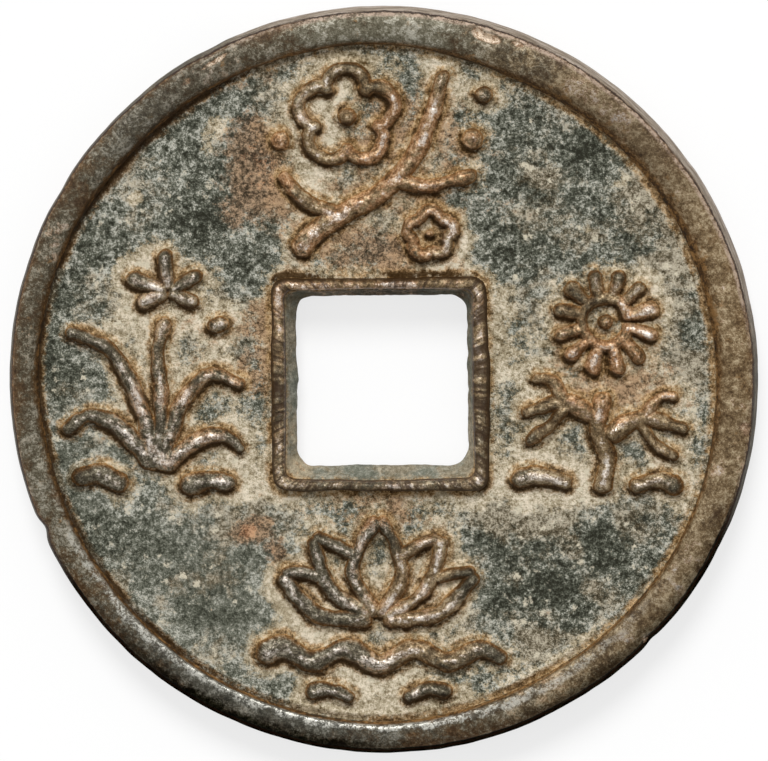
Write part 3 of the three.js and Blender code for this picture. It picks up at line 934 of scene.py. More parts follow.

# %% [markdown]
# A material can't see how far a place lies from a line or whether it is in the map's dark part, so
# each surface carries a few numbers at its vertices. Foot is the distance from the nearest raised
# thing, and rise how far up a raised line a place lies. Crust is the share of pale earth, rust and
# warm are tints, calm says how smooth the ground is, and the last mark how dark its corners are:
# dirt there, and painted shade, most on the side of each line away from the light.


# %% Marks on the field
def field_marks(x, y):
    """The marks of places on the front field. Crust lies round raised things and in the pale
    patches and is missing in the bare ones. At the upper left the rim counts as nearer than it
    is, because its ochre foot is wide there. Rise stays 0 until an ornament fills it in."""
    lines, to_frame, to_rim = field_distances(x, y)
    features = np.minimum(lines, to_frame)
    near = np.exp(-((np.maximum(features, 0) / 0.95) ** 2))
    angle = np.arctan2(y - DESIGN_MIDDLE[1], x - DESIGN_MIDDLE[0])
    near_rim = 1 - bells(angle, (168, 44, 0.9), (34, 28, 0.7))
    near_rim = near_rim * np.exp(-np.maximum(to_rim, 0) / 0.7)
    crust = 0.05 + 0.76 * near + 0.22 * near_rim + 0.75 * patches(x, y, PALE_PATCHES)
    bare = patches(x, y, BARE_PATCHES)
    crust = crust - 0.4 * bare + 0.12 * noise(flat_points(x, y), 2.4, 11, 3)
    # Painted shade: corners are darker on the side of each line away from the light, its lower
    # side in the picture.
    below = np.maximum(under_a_line(x, y, lines), 0)
    grime_and_shade = np.where(to_rim < features, rim_depth(angle), 0.3 + 0.6 * below)
    beside_frame = 0.4 * np.exp(-np.maximum(to_frame, 0) / 0.35)
    nearer = 1 - bells(angle, (128, 34, 0.34))
    return {
        "foot": np.minimum(features, to_rim * nearer),
        "crust": np.clip(crust, -0.8, 1.1),
        "rust": patches(x, y, RUST_PATCHES) - 0.7 * patches(x, y, PALE_PATCHES) + beside_frame,
        "warm": patches(x, y, WARM_PATCHES) - 0.6 * bare,
        "calm": patches(x, y, CALM_PATCHES),
        "grime_and_shade": grime_and_shade,
        "rise": np.zeros(x.shape),
    }


beside_a_line = field_marks(np.array([0.0]), np.array([12.0]))
print("marks above the hole:", {key: round(float(v[0]), 2) for key, v in beside_a_line.items()})

# %% [markdown]
# One patina covers the whole coin, because it is one casting, and only the shares differ from
# part to part. Four noises break it up everywhere, from grains of a third of a millimetre to
# clouds of four, and a mix of them, the tone, moves each colour between its dark and its pale
# end, so no two grains are quite alike.


# %% The noises of the skin
def coin_material(name):
    """A new material with the four noises of the skin, from fine to coarse, and their mix."""
    n = new_material(name)
    n.grain = n.noise(0.34, 3, 1.0)
    n.fleck = n.noise(0.6, 4, 0.95, seed=3)
    n.mottle = n.noise(2.2, 5, 0.85, seed=7)
    n.cloud = n.noise(4.5, 3, 0.6, seed=12)
    n.tone = n.nudged(n.nudged(n.grain, n.mottle, 0.3), n.cloud, 0.2)
    return n


# %% [markdown]
# On low ground there are two skins: bare bronze, charcoal with grains of every size, and pale
# crust. Noise decides where one shows through the other, so a dark patch has pale flecks in it
# and a pale one has dark pits. Both take their shade from one number, the level, which is the
# share of crust with noise added: just under the crust's edge the bronze is lightest, and far
# over it the crust is palest. Single cream specks lie on top, rust tints both skins, and ochre
# lies along every foot.


# %% Low ground
def bare_bronze(n, level, gritty):
    """Metal without crust: charcoal, and browner where the ground is warm."""
    bared = n.scaled(n.sums("MINIMUM", level, 0.3), 0.55, gritty)
    cold = n.ramp(
        bared, (0, 36, 36, 26), (0.3, 77, 79, 67), (0.6, 117, 118, 105), (1, 196, 195, 183)
    )
    earthy = n.ramp(bared, (0, 46, 35, 13), (0.5, 108, 97, 76), (1, 182, 171, 148))
    soil = n.nudged(n.scaled(n.mark("warm"), 0.4, n.cloud), n.mottle, 0.6)
    return n.blend(n.spread(soil, 0.35, 0.95, 0, 0.85), cold, earthy)


def pale_crust(n, level, gritty):
    """Crust: greyish where it is thin, yellower where it is thick, and ochre where it rusts."""
    caked = n.scaled(level, 0.35, n.scaled(gritty, 0.8, -0.14))
    thick = n.ramp(
        caked, (0, 80, 64, 38), (0.3, 148, 135, 108), (0.6, 184, 171, 145), (1, 232, 220, 198)
    )
    thin = n.ramp(
        caked, (0, 84, 78, 62), (0.3, 136, 131, 114), (0.6, 170, 164, 146), (1, 224, 218, 202)
    )
    crust = n.blend(n.spread(n.nudged(n.mark("crust"), n.mottle, 0.3), 0.0, 0.5), thin, thick)
    ochre = n.ramp(n.tone, (0, 70, 42, 10), (0.5, 154, 112, 66), (1, 216, 178, 130))
    rusting = n.spread(n.nudged(n.mark("rust"), n.mottle, 0.6), 0.35, 0.95, 0, 0.75)
    return n.blend(rusting, crust, ochre)


def rusted(n, low):
    """Low ground with its rust: mauve-brown, and orange where there is most of it."""
    rust = n.mark("rust")
    rusty = n.scaled(n.mark("crust"), 0.2, n.nudged(n.tone, n.fleck, 0.3))
    mauve = n.ramp(rusty, (0, 38, 29, 16), (0.5, 103, 84, 64), (1, 176, 146, 114))
    low = n.blend(n.spread(n.nudged(rust, n.mottle, 0.8), 0.5, 1.05, 0, 0.9), low, mauve)
    orange = n.ramp(rusty, (0, 56, 30, 12), (0.5, 134, 92, 62), (1, 206, 160, 122))
    return n.blend(n.spread(n.nudged(rust, n.fleck, 0.3), 1.1, 1.4, 0, 0.8), low, orange)


def stained(n, low, grime_and_shade):
    """Low ground with the ochre along every foot, which is browner where a corner is dark with
    dirt and painted shade.
    """
    light = n.ramp(n.tone, (0, 96, 66, 28), (0.5, 166, 135, 90), (1, 218, 190, 148))
    dark = n.ramp(n.tone, (0, 50, 30, 4), (0.5, 120, 90, 52), (1, 182, 148, 102))
    beside = n.nudged(n.mark("foot"), n.fleck, 0.14)
    halo = n.times(n.spread(beside, 0.36, 0.1), n.spread(n.mottle, 0.25, 0.65, 0.25, 0.9))
    return n.blend(halo, low, n.blend(n.spread(grime_and_shade, 0.1, 0.7), light, dark))


def low_ground(n, grit, grime_and_shade):
    """The colour of low ground, and its share of crust. The level is the mark plus noise times
    the grit, and both the noise and the contrast of the grains shrink where it is calm."""
    calm = n.mark("calm")
    ripple = n.nudged(n.nudged(n.nudged(0.0, n.mottle, 0.4), n.fleck, 0.45), n.cloud, 0.35)
    level = n.scaled(ripple, n.scaled(calm, -0.55 * grit, grit), n.mark("crust"))
    grains = n.scaled(calm, -0.36 * grit, grit)
    gritty = n.scaled(n.sums("SUBTRACT", n.tone, 0.5), grains, 0.5)
    crusted = n.spread(level, 0.38, 0.73)
    low = n.blend(crusted, bare_bronze(n, level, gritty), pale_crust(n, level, gritty))
    scattered = n.spread(n.nudged(n.mottle, n.cloud, 0.6), 0.4, 0.85)
    speck = n.times(n.specks(0.62, n.fleck), scattered, 0.85 * grit)
    low = n.blend(speck, low, rgb(212, 203, 180))
    return stained(n, rusted(n, low), grime_and_shade), crusted


# %% [markdown]
# Raised bronze is golden brown at its foot, amber where it rusts, and worn to a harder, greyer
# brown on top, with bright grains where fingers and other coins have rubbed it, which are also
# painted glints. Its ground colour goes from slate to brown to tawny with the warm and rust marks.


# %% Raised bronze
def raised_bronze(n, dull):
    """The colour of raised bronze and the share of pale wear and painted glints on it. The blends
    follow one another up the flank: ground colour, golden foot, grey crest, pale grains of wear
    and painted glint."""
    rise, rust = n.mark("rise"), n.mark("rust")
    slate = n.ramp(dull, (0, 30, 22, 6), (0.5, 82, 75, 58), (1, 160, 152, 134))
    brown = n.ramp(dull, (0, 60, 42, 14), (0.5, 124, 103, 73), (1, 186, 168, 136))
    raised = n.blend(n.spread(n.nudged(n.mark("warm"), n.mottle, 0.5), 0.25, 0.75), slate, brown)
    tawny = n.ramp(dull, (0, 86, 54, 24), (0.5, 166, 122, 82), (1, 230, 194, 156))
    raised = n.blend(n.spread(n.nudged(rust, n.mottle, 0.9), 0.25, 0.85, 0, 0.85), raised, tawny)
    golden = n.ramp(dull, (0, 56, 34, 6), (0.5, 116, 77, 32), (1, 188, 140, 78))
    amber = n.ramp(dull, (0, 78, 50, 20), (0.5, 142, 100, 56), (1, 206, 162, 106))
    golden = n.blend(n.spread(n.nudged(rust, n.mottle, 0.5), 0.3, 0.8), golden, amber)
    flank = n.nudged(n.nudged(rise, n.grain, 0.16), n.mottle, 0.3)
    raised = n.blend(n.spread(flank, 0.75, 0.25, 0, 0.8), raised, golden)
    crest = n.nudged(rise, n.mottle, 0.4)
    greyish = n.ramp(dull, (0, 56, 46, 36), (0.5, 128, 115, 101), (1, 204, 194, 184))
    raised = n.blend(n.spread(crest, 0.86, 1.12, 0, 0.75), raised, greyish)
    # Painted glints: pale grains on the crest, rubbed metal and painted highlight together.
    glint_grains = n.spread(n.nudged(n.fleck, n.grain, 0.5), 0.4, 0.9)
    worn = n.times(n.spread(crest, 0.9, 1.12), glint_grains)
    return n.blend(n.times(worn, 0.75), raised, rgb(214, 206, 196)), worn


# %% [markdown]
# The two grounds meet low on the flank of a line, and where a corner is deep a nearly black line
# fills it, dirt and painted shade, darkest on the side of a line away from the light. Crust is
# matt and dull, and raised metal smoother and part mirror, but it is never as bright as clean
# bronze, because a thin dark skin lies on it too.


# %% The whole patina
def patina(n, contrast=0.8, grit=1.0):
    """Colour, roughness, metal share, sheen and height of the skin. The contrast is that of the
    grain on raised bronze, and grit that of the grain on low ground."""
    grime_and_shade = n.nudged(n.mark("grime_and_shade"), n.mottle, 0.8)
    dull = n.scaled(n.nudged(n.tone, n.mottle, 0.3), contrast, 0.5 - 0.5 * contrast)
    low, crusted = low_ground(n, grit, grime_and_shade)
    raised, worn = raised_bronze(n, dull)
    off_ground = n.spread(n.nudged(n.mark("rise"), n.grain, 0.16), 0.09, 0.2)
    colour = n.blend(off_ground, low, raised)
    # The dark line at every foot: dirt, and painted shade that is strongest under the lines and at
    # the rim's foot at the left.
    apart = n.sums("ABSOLUTE", n.nudged(n.mark("foot"), n.fleck, 0.1))
    crevice = n.spread(n.scaled(grime_and_shade, -0.14, apart), 0.08, -0.08)
    crevice = n.times(crevice, n.spread(grime_and_shade, 0.3, 0.9), 0.9)
    up = n.spread(n.mark("rise"), 0.1, 0.7)
    matt = n.spread(crusted, 0, 1, 0.62, 0.9)
    polished = n.times(up, n.sums("SUBTRACT", matt, 0.5))
    roughness = n.scaled(worn, -0.08, n.sums("SUBTRACT", matt, polished))
    return {
        "colour": n.blend(crevice, colour, rgb(44, 27, 5)),
        "roughness": n.nudged(roughness, n.grain, -0.1),
        "metal": n.scaled(worn, 0.3, n.times(up, 0.55)),
        "specular": n.scaled(up, 0.3, 0.12),
        "height": n.scaled(crusted, 0.4, n.grain),
        "tone": dull,
    }


def finished(n, skin, relief):
    """Puts a skin on the material's surface, its grain standing up to relief millimetres."""
    inputs = {
        "Base Color": skin["colour"],
        "Roughness": skin["roughness"],
        "Metallic": skin["metal"],
        "Normal": n.bump(skin["height"], relief),
        "Specular IOR Level": skin["specular"],
    }
    shader = n.add("ShaderNodeBsdfPrincipled", inputs)
    n.add("ShaderNodeOutputMaterial", {"Surface": shader.outputs[0]})
    return n.owner


def plain_patina(name, relief, **shares):
    """A material that is the patina and nothing else."""
    n = coin_material(name)
    return finished(n, patina(n, **shares), relief)


FIELD_PATINA = plain_patina("field_patina", 0.02)
RELIEF_BRONZE = plain_patina("relief_bronze", 0.016, contrast=0.75)
WALL_PATINA = plain_patina("wall_patina", 0.01, grit=0.3)
print("patina nodes:", len(RELIEF_BRONZE.node_tree.nodes))

# %% [markdown]
# The front field is a ring from the foot of the frame to the foot of the rim, tucked a little
# under both. Its top is almost level, with the slow swells and fine lumps of cast metal, and
# it rises a little against everything raised, because sand fills no sharp corner. Just inside
# the rim runs a shallow groove and a low bead, where the pattern was pressed in twice. Rows
# of points crowd together at both ends of the ring, where there is more to show.


# %% The front field
def square_points(angle, side, corner, middle=HOLE_MIDDLE):
    """Where a ray from the middle meets a square with rounded corners: it meets the sharp one
    at half the side over the larger of its two parts, and a few steps back by the signed
    distance bring it onto the rounded one."""
    way = np.stack([np.cos(angle), np.sin(angle)], axis=-1)
    turned = angle - HOLE_TURN
    reach = side / 2 / np.maximum(np.abs(np.cos(turned)), np.abs(np.sin(turned)))
    for _ in range(6):
        at = middle + reach[..., None] * way
        reach = reach - square_distance(at[..., 0], at[..., 1], side, corner, middle)
    return middle + reach[..., None] * way


def field_height(x, y, seed=2):
    """Height of the cast skin over the level field, in millimetres."""
    p = flat_points(x, y)
    return 0.05 * noise(p, 3.2, seed, 2) + 0.024 * noise(p, 0.6, seed + 4, 3)


def crowded(count, crowding=0.65):
    """Shares from 0 to 1 that lie closer at both ends: u - crowding * sin(2 pi u) / (2 pi)."""
    u = np.linspace(0, 1, count)
    return u - crowding * np.sin(2 * math.pi * u) / (2 * math.pi)


def field_ring(mouth, outer_radius, rows, around):
    """Points (around, rows, 2) from the foot of a frame to the foot of a rim."""
    angle = np.linspace(0, 2 * math.pi, around, endpoint=False)
    inner = square_points(angle, mouth + 0.2, 0.5)
    circle = np.stack([np.cos(angle), np.sin(angle)], axis=-1)
    outer = DESIGN_MIDDLE + (outer_radius + TUCK) * circle
    share = crowded(rows)[None, :, None]
    return inner[:, None] + share * (outer - inner)[:, None]


def with_underside(xy, top_z, bottom_z, marks):
    """Closes a field from below: four more rows, running back at one level. The marks of the
    top's outermost and innermost rows are carried on to them."""
    rows = [-1, xy.shape[1] * 2 // 3, xy.shape[1] // 3, 0]
    top = np.concatenate([xy, top_z[..., None]], axis=-1)
    under = np.concatenate([xy[:, rows], np.full((len(xy), 4, 1), bottom_z)], axis=-1)
    carried = {key: np.concatenate([v, v[:, rows]], axis=1) for key, v in marks.items()}
    return np.concatenate([top, under], axis=1), carried


# %% The front field as a mesh
AROUND = 900
FIELD_ROWS = 104
TUCK = 0.3  # how far a field runs under the rim
SLAB = 0.3  # how thick a field's own skin is

ring_xy = field_ring(FRONT_MOUTH, FIELD_RADIUS, FIELD_ROWS, AROUND)
ring_x, ring_y = ring_xy[..., 0], ring_xy[..., 1]
marks = field_marks(ring_x, ring_y)
_, to_frame, to_rim = field_distances(ring_x, ring_y)
unsteady = 0.5 + 0.5 * np.clip(noise(flat_points(ring_x, ring_y), 2.0, 33, 2) + 0.4, 0, 1)
bead = 0.07 * unsteady * np.exp(-(((to_rim - 0.3) / 0.12) ** 2))
groove = 0.06 * unsteady * np.exp(-((to_rim / 0.12) ** 2))
fillet = 0.08 * np.exp(-np.maximum(to_frame, 0) / 0.14)
ring_z = FIELD_TOP + field_height(ring_x, ring_y) + fillet + bead - groove
points, carried = with_underside(ring_xy, ring_z, FIELD_TOP - SLAB, marks)
ring_piece("front_field", points, carried, FIELD_PATINA, ["web"])

# %% [markdown]
# Each ornament is a patch of a fine square grid. Its top stands on the field's own height, so
# it follows every swell, and spreads out at its foot in a small curve. A little way past its
# edge it dives below the field, which hides the grid's stepped outline.

# %% The ornaments
FINE = 0.055
FOOT_CURVE = 0.12  # height of the small curve at a line's foot
FOOT_REACH = 0.15  # how fast it dies out
DIVE = 0.24  # distance past a line's edge where its patch goes below the field
BEYOND = 0.34  # distance past a line's edge where its patch ends
RELIEF_SINK = 0.25


def ornament(node, strokes):
    """One ornament: the field's height, plus the nearest line's, plus the curve at its foot,
    and past its edge a slope that dives under the field."""
    reach = 0.6
    sides = []
    for axis in ("x", "y"):
        start = min((s[axis] - s["half"]).min() for s in strokes) - reach
        end = max((s[axis] + s["half"]).max() for s in strokes) + reach
        sides.append(np.arange(start, end, FINE))
    x, y = np.meshgrid(*sides, indexing="ij")
    wx, wy = wandered(x, y)
    edge, height = stroke_reach(wx, wy, strokes, reach)
    p = flat_points(x, y)
    rise = np.clip(height / LINE_HEIGHT, 0, 1)
    worn = 1 + 0.12 * noise(p, 1.2, 41, 2)
    skin = 0.024 * noise(p, 0.34, 43, 3) * np.clip(rise * 1.5, 0, 1)
    dents = 0.09 * np.clip(noise(p, 0.7, 47, 2) - 0.35, 0, 1) * rise
    curve = FOOT_CURVE * np.exp(-np.abs(edge) / FOOT_REACH)
    dive = 0.9 * np.maximum(edge - DIVE, 0) + 0.004 * (edge > 0)
    z = FIELD_TOP + field_height(x, y) + height * worn + skin - dents + curve - dive
    least = np.minimum(edge[:-1], edge[1:])
    keep = np.minimum(least[:, :-1], least[:, 1:]) < BEYOND
    marks = field_marks(x, y)
    marks["rise"] = rise
    bottom = FIELD_TOP - RELIEF_SINK
    name = node + "_cast"
    patch_piece(name, x, y, z, bottom, keep, marks, RELIEF_BRONZE, [node])


for node, strokes in RELIEFS.items():
    ornament(node, strokes)

# %% [markdown]
# The rim is one section carried round the coin. The section is a list of corners, each tied
# to the outline, to the foot of the front field or to the foot of the back field, and all
# three wander on their own, as they do on a coin that was cast and then filed round. Its front
# is crowned by wear and its inner flank is soft. Cutting the corners off twice rounds it.


# %% The section of the outer rim
def rounded(corners, cuts=2):
    """Cuts the corners of a closed outline: every side keeps its middle half, twice over."""
    for _ in range(cuts):
        after = np.roll(corners, -1, axis=0)
        pairs = np.stack([0.75 * corners + 0.25 * after, 0.25 * corners + 0.75 * after], axis=1)
        corners = pairs.reshape(-1, *corners.shape[1:])
    return corners


def evenly(section, count):
    """The same closed outlines with evenly spaced points. The spacing is found on the average
    outline and used for all: (points, around, axes) becomes (around, count, axes)."""
    closed = np.concatenate([section, section[:1]])
    steps = np.linalg.norm(np.diff(closed, axis=0), axis=2).mean(axis=1)
    gone = np.concatenate([[0], steps.cumsum()])
    at = np.linspace(0, gone[-1], count, endpoint=False)
    low = np.clip(np.searchsorted(gone, at, side="right") - 1, 0, len(gone) - 2)
    part = ((at - gone[low]) / (gone[low + 1] - gone[low]))[:, None, None]
    return (closed[low] * (1 - part) + closed[low + 1] * part).transpose(1, 0, 2)


# Each nick in the outline: its place in degrees, depth in millimetres, half width in degrees.
NICKS = [(203.8, 0.2, 1.5), (-44.0, 0.08, 1.2), (117.5, 0.05, 2.0), (150.0, 0.05, 3.0)]


def outline_radius(angle):
    """Radius of the coin's edge: round, with a slow wander, a finer one and a few nicks."""
    around = np.stack([4 * np.cos(angle), 4 * np.sin(angle), 0 * angle], axis=-1)
    radius = COIN_RADIUS - 0.03 + 0.045 * noise(around, 2.5, 21, 2)
    radius = radius + 0.02 * noise(around, 0.3, 23, 3)
    for degrees, depth, width in NICKS:
        radius = radius - depth * np.exp(-((apart_degrees(angle, degrees) / width) ** 2))
    return radius


RIM_AROUND = 1150
RIM_SECTION = 84
rim_angle = np.linspace(0, 2 * math.pi, RIM_AROUND, endpoint=False)
rim_way = np.stack([np.cos(rim_angle), np.sin(rim_angle)], axis=-1)
edge_radius = outline_radius(rim_angle)
off_middle = rim_way @ DESIGN_MIDDLE
front_foot = rim_foot(rim_angle) + off_middle
back_foot = BACK_FIELD_RADIUS + 0.08 * rim_wander(rim_angle) + off_middle
TOP = COIN_THICKNESS
# How gently the inner flank rises, how far the line inside the edge lies from it, and how much
# the outer half falls away towards the edge.
soft = 0.12 + bells(rim_angle, (36, 34, 0.9))
tight = bells(rim_angle, (242, 34, 1.0), (308, 34, 0.8))
inset = 0.19 - bells(rim_angle, (145, 24, 0.1), (195, 30, 0.04), (40, 30, -0.06))
fall = bells(rim_angle, (256, 52, 1.0), (160, 40, 0.2))
RIM_CORNERS = [
    (front_foot, 0.0, FIELD_TOP - 0.3),
    (front_foot, 0.0, FIELD_TOP - 0.06),
    (front_foot, 0.05 + 0.08 * soft, FIELD_TOP + 0.08),
    (front_foot, 0.09 + 0.25 * soft, FIELD_TOP + 0.36),
    (front_foot, 0.18 + 0.36 * soft - 0.1 * tight, TOP - 0.13),
    (front_foot, 0.40 + 0.36 * soft - 0.3 * tight, TOP + 0.01),
    (edge_radius, -inset - 0.62, TOP + 0.02 - 0.14 * fall),
    (edge_radius, -inset - 0.28, TOP - 0.03 - 0.20 * fall),
    (edge_radius, -inset - 0.12, TOP - 0.12 - 0.22 * fall),
    (edge_radius, -inset - 0.04, TOP - 0.26 - 0.20 * fall),
    (edge_radius, -inset - 0.04, TOP - 0.36 - 0.20 * fall),
    (edge_radius, -inset + 0.04, TOP - 0.32 - 0.20 * fall),
    (edge_radius, -0.7 * inset, TOP - 0.44 - 0.20 * fall),
    (edge_radius, -0.3 * inset, TOP - 0.75),
    (edge_radius, 0.02, TOP - 1.1),
    (edge_radius, 0.01, 1.0),
    (edge_radius, -0.10, 0.55),
    (edge_radius, -0.22, 0.12),
    (edge_radius, -0.45, -0.01),
    (back_foot, 1.10, 0.0),
    (back_foot, 0.40, 0.0),
    (back_foot, 0.18, 0.12),
    (back_foot, 0.06, FIELD_BOTTOM - 0.1),
    (back_foot, 0.0, FIELD_BOTTOM + 0.3),
    (back_foot, 1.2, FIELD_BOTTOM + 0.3),
    (front_foot, 0.8, FIELD_TOP - 0.3),
]
corners = np.stack(
    [np.stack([base + out, z + 0 * rim_angle], axis=-1) for base, out, z in RIM_CORNERS]
)
section = evenly(rounded(corners), RIM_SECTION)
radius, height = section[..., 0], section[..., 1]
rim_points = np.stack([radius * rim_way[:, :1], radius * rim_way[:, 1:], height], axis=-1)
print("rim section:", len(RIM_CORNERS), "corners,", RIM_SECTION, "points")

# %% [markdown]
# Lumps of cast skin cover the rim, less on the side, which was filed. Chips are knocked out of
# its front edge, and in them the metal shows pale copper. The coin rests on its back rim, so
# nothing there goes below the table.

# %% Lumps and chips
# Each chip: middle, half axes, turn in degrees, depth.
CHIPS = [
    ((4.45, 16.26), (0.3, 0.2), -45, 0.42),
    ((4.95, 16.04), (0.48, 0.18), -18, 0.48),
    ((6.27, 15.76), (0.32, 0.13), -22, 0.2),
    ((-7.75, 14.95), (0.9, 0.14), 32, 0.14),
    ((-9.1, 14.0), (0.3, 0.2), 32, 0.1),
    ((16.85, -2.1), (0.3, 0.4), 0, 0.16),
    ((12.4, -12.1), (0.35, 0.25), -45, 0.14),
]

lumps = 0.035 * noise(rim_points, 1.6, 51, 2) + 0.016 * noise(rim_points, 0.28, 53, 3)
in_front = height > COIN_THICKNESS / 2
lip = (edge_radius - inset)[:, None] - radius
side_share = np.clip(0.5 - lip / 0.05, 0, 1)
chipped = patches(rim_points[..., 0], rim_points[..., 1], CHIPS)
chipped = chipped * np.clip((height - TOP + 0.6) / 0.2, 0, 1)
rim_points[..., 2] += np.where(in_front, lumps * (1 - 0.8 * side_share), 0) - chipped
rim_points[..., 2] = np.maximum(rim_points[..., 2], 0)
print("the rim rises to", round(rim_points[..., 2].max(), 2), "mm")

# %% [markdown]
# The rim changes round the coin more than it does across. It is grey-green at the top and the
# left, and olive brown at the right. At the bottom it is steel-grey with a silvery crest, worn
# metal with a painted highlight, and its outer half and its side are painted black as shade. Its
# side and edge carry a painted highlight at the top and upper right, and its face is painted
# darker as shade in a few places. Its inner flank is gentle and clotted with dark brown at the
# upper right and steep elsewhere. Each of these is a mark made of bells, like the swells of its
# foot.

# %% Marks on the rim
# Each swell: its place in degrees, half width in degrees, strength.
RIM_SWELLS = {
    "warm": [(18, 62, 0.95), (-50, 28, 0.35)],
    "pale": [(90, 20, 1.0), (200, 25, 0.5)],
    "gloom": [(-110, 34, 1.0), (-42, 16, 0.2), (136, 18, 0.5)],
    # This mark paints shade: the outer half and the side of the rim at the bottom and lower right,
    # which face away from the light, go black.
    "painted_shade": [(-108, 26, 1.0), (-142, 14, 0.3), (-120, 12, 0.2), (-56, 18, 0.6), (-30, 16, 0.4)],
    # This mark paints a highlight: a silvery crest along the rim's inner shoulder at the bottom,
    # worn metal that also stands for the light on it.
    "worn_highlight": [(-96, 28, 1.1), (-138, 16, 0.6), (-58, 16, 0.25)],
    # This mark paints a highlight on the side and the edge at the top and upper right, which face
    # the light, together with the edge's rubbed metal.
    "lit_and_rubbed": [(60, 46, 1.0), (18, 14, 0.4), (100, 14, 0.4)],
    "shade": [
        (-38, 30, 0.27),
        (44, 17, 0.5),
        (64, 12, 0.16),
        (122, 16, 0.34),
        (168, 34, 0.24),
        (0, 22, 0.08),
    ],
}
UMBER_REACH = 0.09 + 0.24 * soft  # how far up the flank the brown clots go

front_rise = (height - FIELD_TOP) / (TOP - FIELD_TOP)
up_flank = radius - (front_foot + 0.2 * soft)[:, None]
rim_marks = {key: bells(rim_angle, *swells)[:, None] for key, swells in RIM_SWELLS.items()}
rim_marks |= {
    "foot": np.where(in_front, front_foot[:, None], back_foot[:, None]) - radius,
    "rise": 0.73 * np.where(in_front, front_rise, 1 - height / FIELD_BOTTOM),
    "grime_and_shade": rim_depth(rim_angle)[:, None],
    "umber": in_front * np.exp(-np.maximum(up_flank, 0) / UMBER_REACH[:, None]),
    "side": side_share,
    "upper": np.clip((height - 0.5) / 1.1, 0.2, 1),
    "lip": np.where(in_front, lip, 2),
    "chip": np.clip(chipped / 0.22, 0, 1),
}
print("marks on the rim:", ", ".join(rim_marks))

# %% [markdown]
# The rim's material lays these on the patina one after another, as they lie on the coin: the face
# first, then the filed side, then the two thin lines between them, where the edge is rubbed bare
# and lit by a painted highlight and where dirt stays just outside it, and last the fresh metal of
# the chips.


# %% The face of the rim
def rim_face(n, skin, black):
    """The rim's front: grey-green, dark clots up its foot, steel-grey, painted shade, black
    painted shade towards the edge at the bottom, and a silvery crest of wear and painted
    highlight. Also how steely and how black it is."""
    tone, lip, painted_shade = skin["tone"], n.mark("lip"), n.mark("painted_shade")
    on_top = n.spread(n.mark("rise"), 0.3, 0.7)
    green = n.ramp(tone, (0.0, 60, 54, 36), (0.5, 108, 103, 86), (1.0, 170, 166, 152))
    pale = n.spread(n.nudged(n.mark("pale"), n.mottle, 0.5), 0.3, 0.9)
    colour = n.blend(n.times(pale, on_top), skin["colour"], green)
    clumps = n.noise(0.9, 3, 0.9, seed=27)
    umber = n.times(n.mark("umber"), n.spread(n.mark("rise"), 0.02, 0.12))
    umber = n.spread(n.nudged(umber, clumps, 0.5), 0.15, 0.75)
    clotted = n.nudged(tone, clumps, 0.9)
    clotted = n.ramp(clotted, (0, 16, 9, 0), (0.5, 70, 44, 11), (1, 142, 106, 62))
    colour = n.blend(umber, colour, clotted)
    steel = n.ramp(tone, (0.0, 40, 38, 30), (0.5, 80, 78, 68), (1.0, 140, 138, 128))
    gloom = n.times(n.spread(n.nudged(n.mark("gloom"), n.mottle, 0.4), 0.2, 0.9), on_top)
    colour = n.blend(gloom, colour, steel)
    colour = n.blend(n.times(n.mark("shade"), on_top), colour, rgb(36, 26, 12))
    # Painted shade: the outer half of the rim and its very edge go black at the bottom and lower
    # right, which face away from the light.
    outer = n.spread(n.nudged(lip, n.fleck, 0.3), 0.85, 0.2)
    brink = n.times(n.spread(lip, 0.2, 0.1), n.spread(painted_shade, 0.0, 0.4))
    outer = n.sums("MAXIMUM", n.times(outer, n.spread(painted_shade, 0.0, 0.95)), brink)
    colour = n.blend(outer, colour, black)
    # The silvery crest: worn metal and a painted highlight, broken into glints.
    crest = n.nudged(lip, n.mottle, 0.25)
    crest = n.times(n.spread(crest, 0.86, 1.1), n.spread(crest, 1.44, 1.26))
    glints = n.nudged(n.nudged(n.fleck, n.grain, 0.9), n.mottle, 0.4)
    worn_highlight = n.times(crest, n.mark("worn_highlight"), on_top, n.spread(glints, 0.1, 0.9, 0.1, 1.0))
    return n.blend(worn_highlight, colour, rgb(204, 202, 192)), gloom, outer


# %% The filed side and the edge
def filed_side(n, black):
    """The side, streaked along the coin by the file: a painted highlight makes it pale where it
    faces the light at the top and upper right, and painted shade makes it dark at the bottom.
    """
    streak = n.noise(1.2, 3, 0.7, seed=21, stretch=(1, 1, 9))
    dull = n.ramp(streak, (0.0, 30, 24, 12), (0.5, 66, 58, 42), (1.0, 116, 106, 86))
    # Painted highlight: the side is pale where it faces the light.
    lit_and_rubbed = n.ramp(streak, (0.0, 96, 82, 64), (0.5, 134, 120, 104), (1.0, 170, 158, 146))
    filed = n.blend(n.spread(n.nudged(n.mark("lit_and_rubbed"), n.mottle, 0.3), 0.2, 0.8), dull, lit_and_rubbed)
    # Painted shade: the side goes black at the bottom, more so higher up.
    return n.blend(n.times(n.spread(n.mark("painted_shade"), 0.05, 0.5), n.mark("upper")), filed, black)


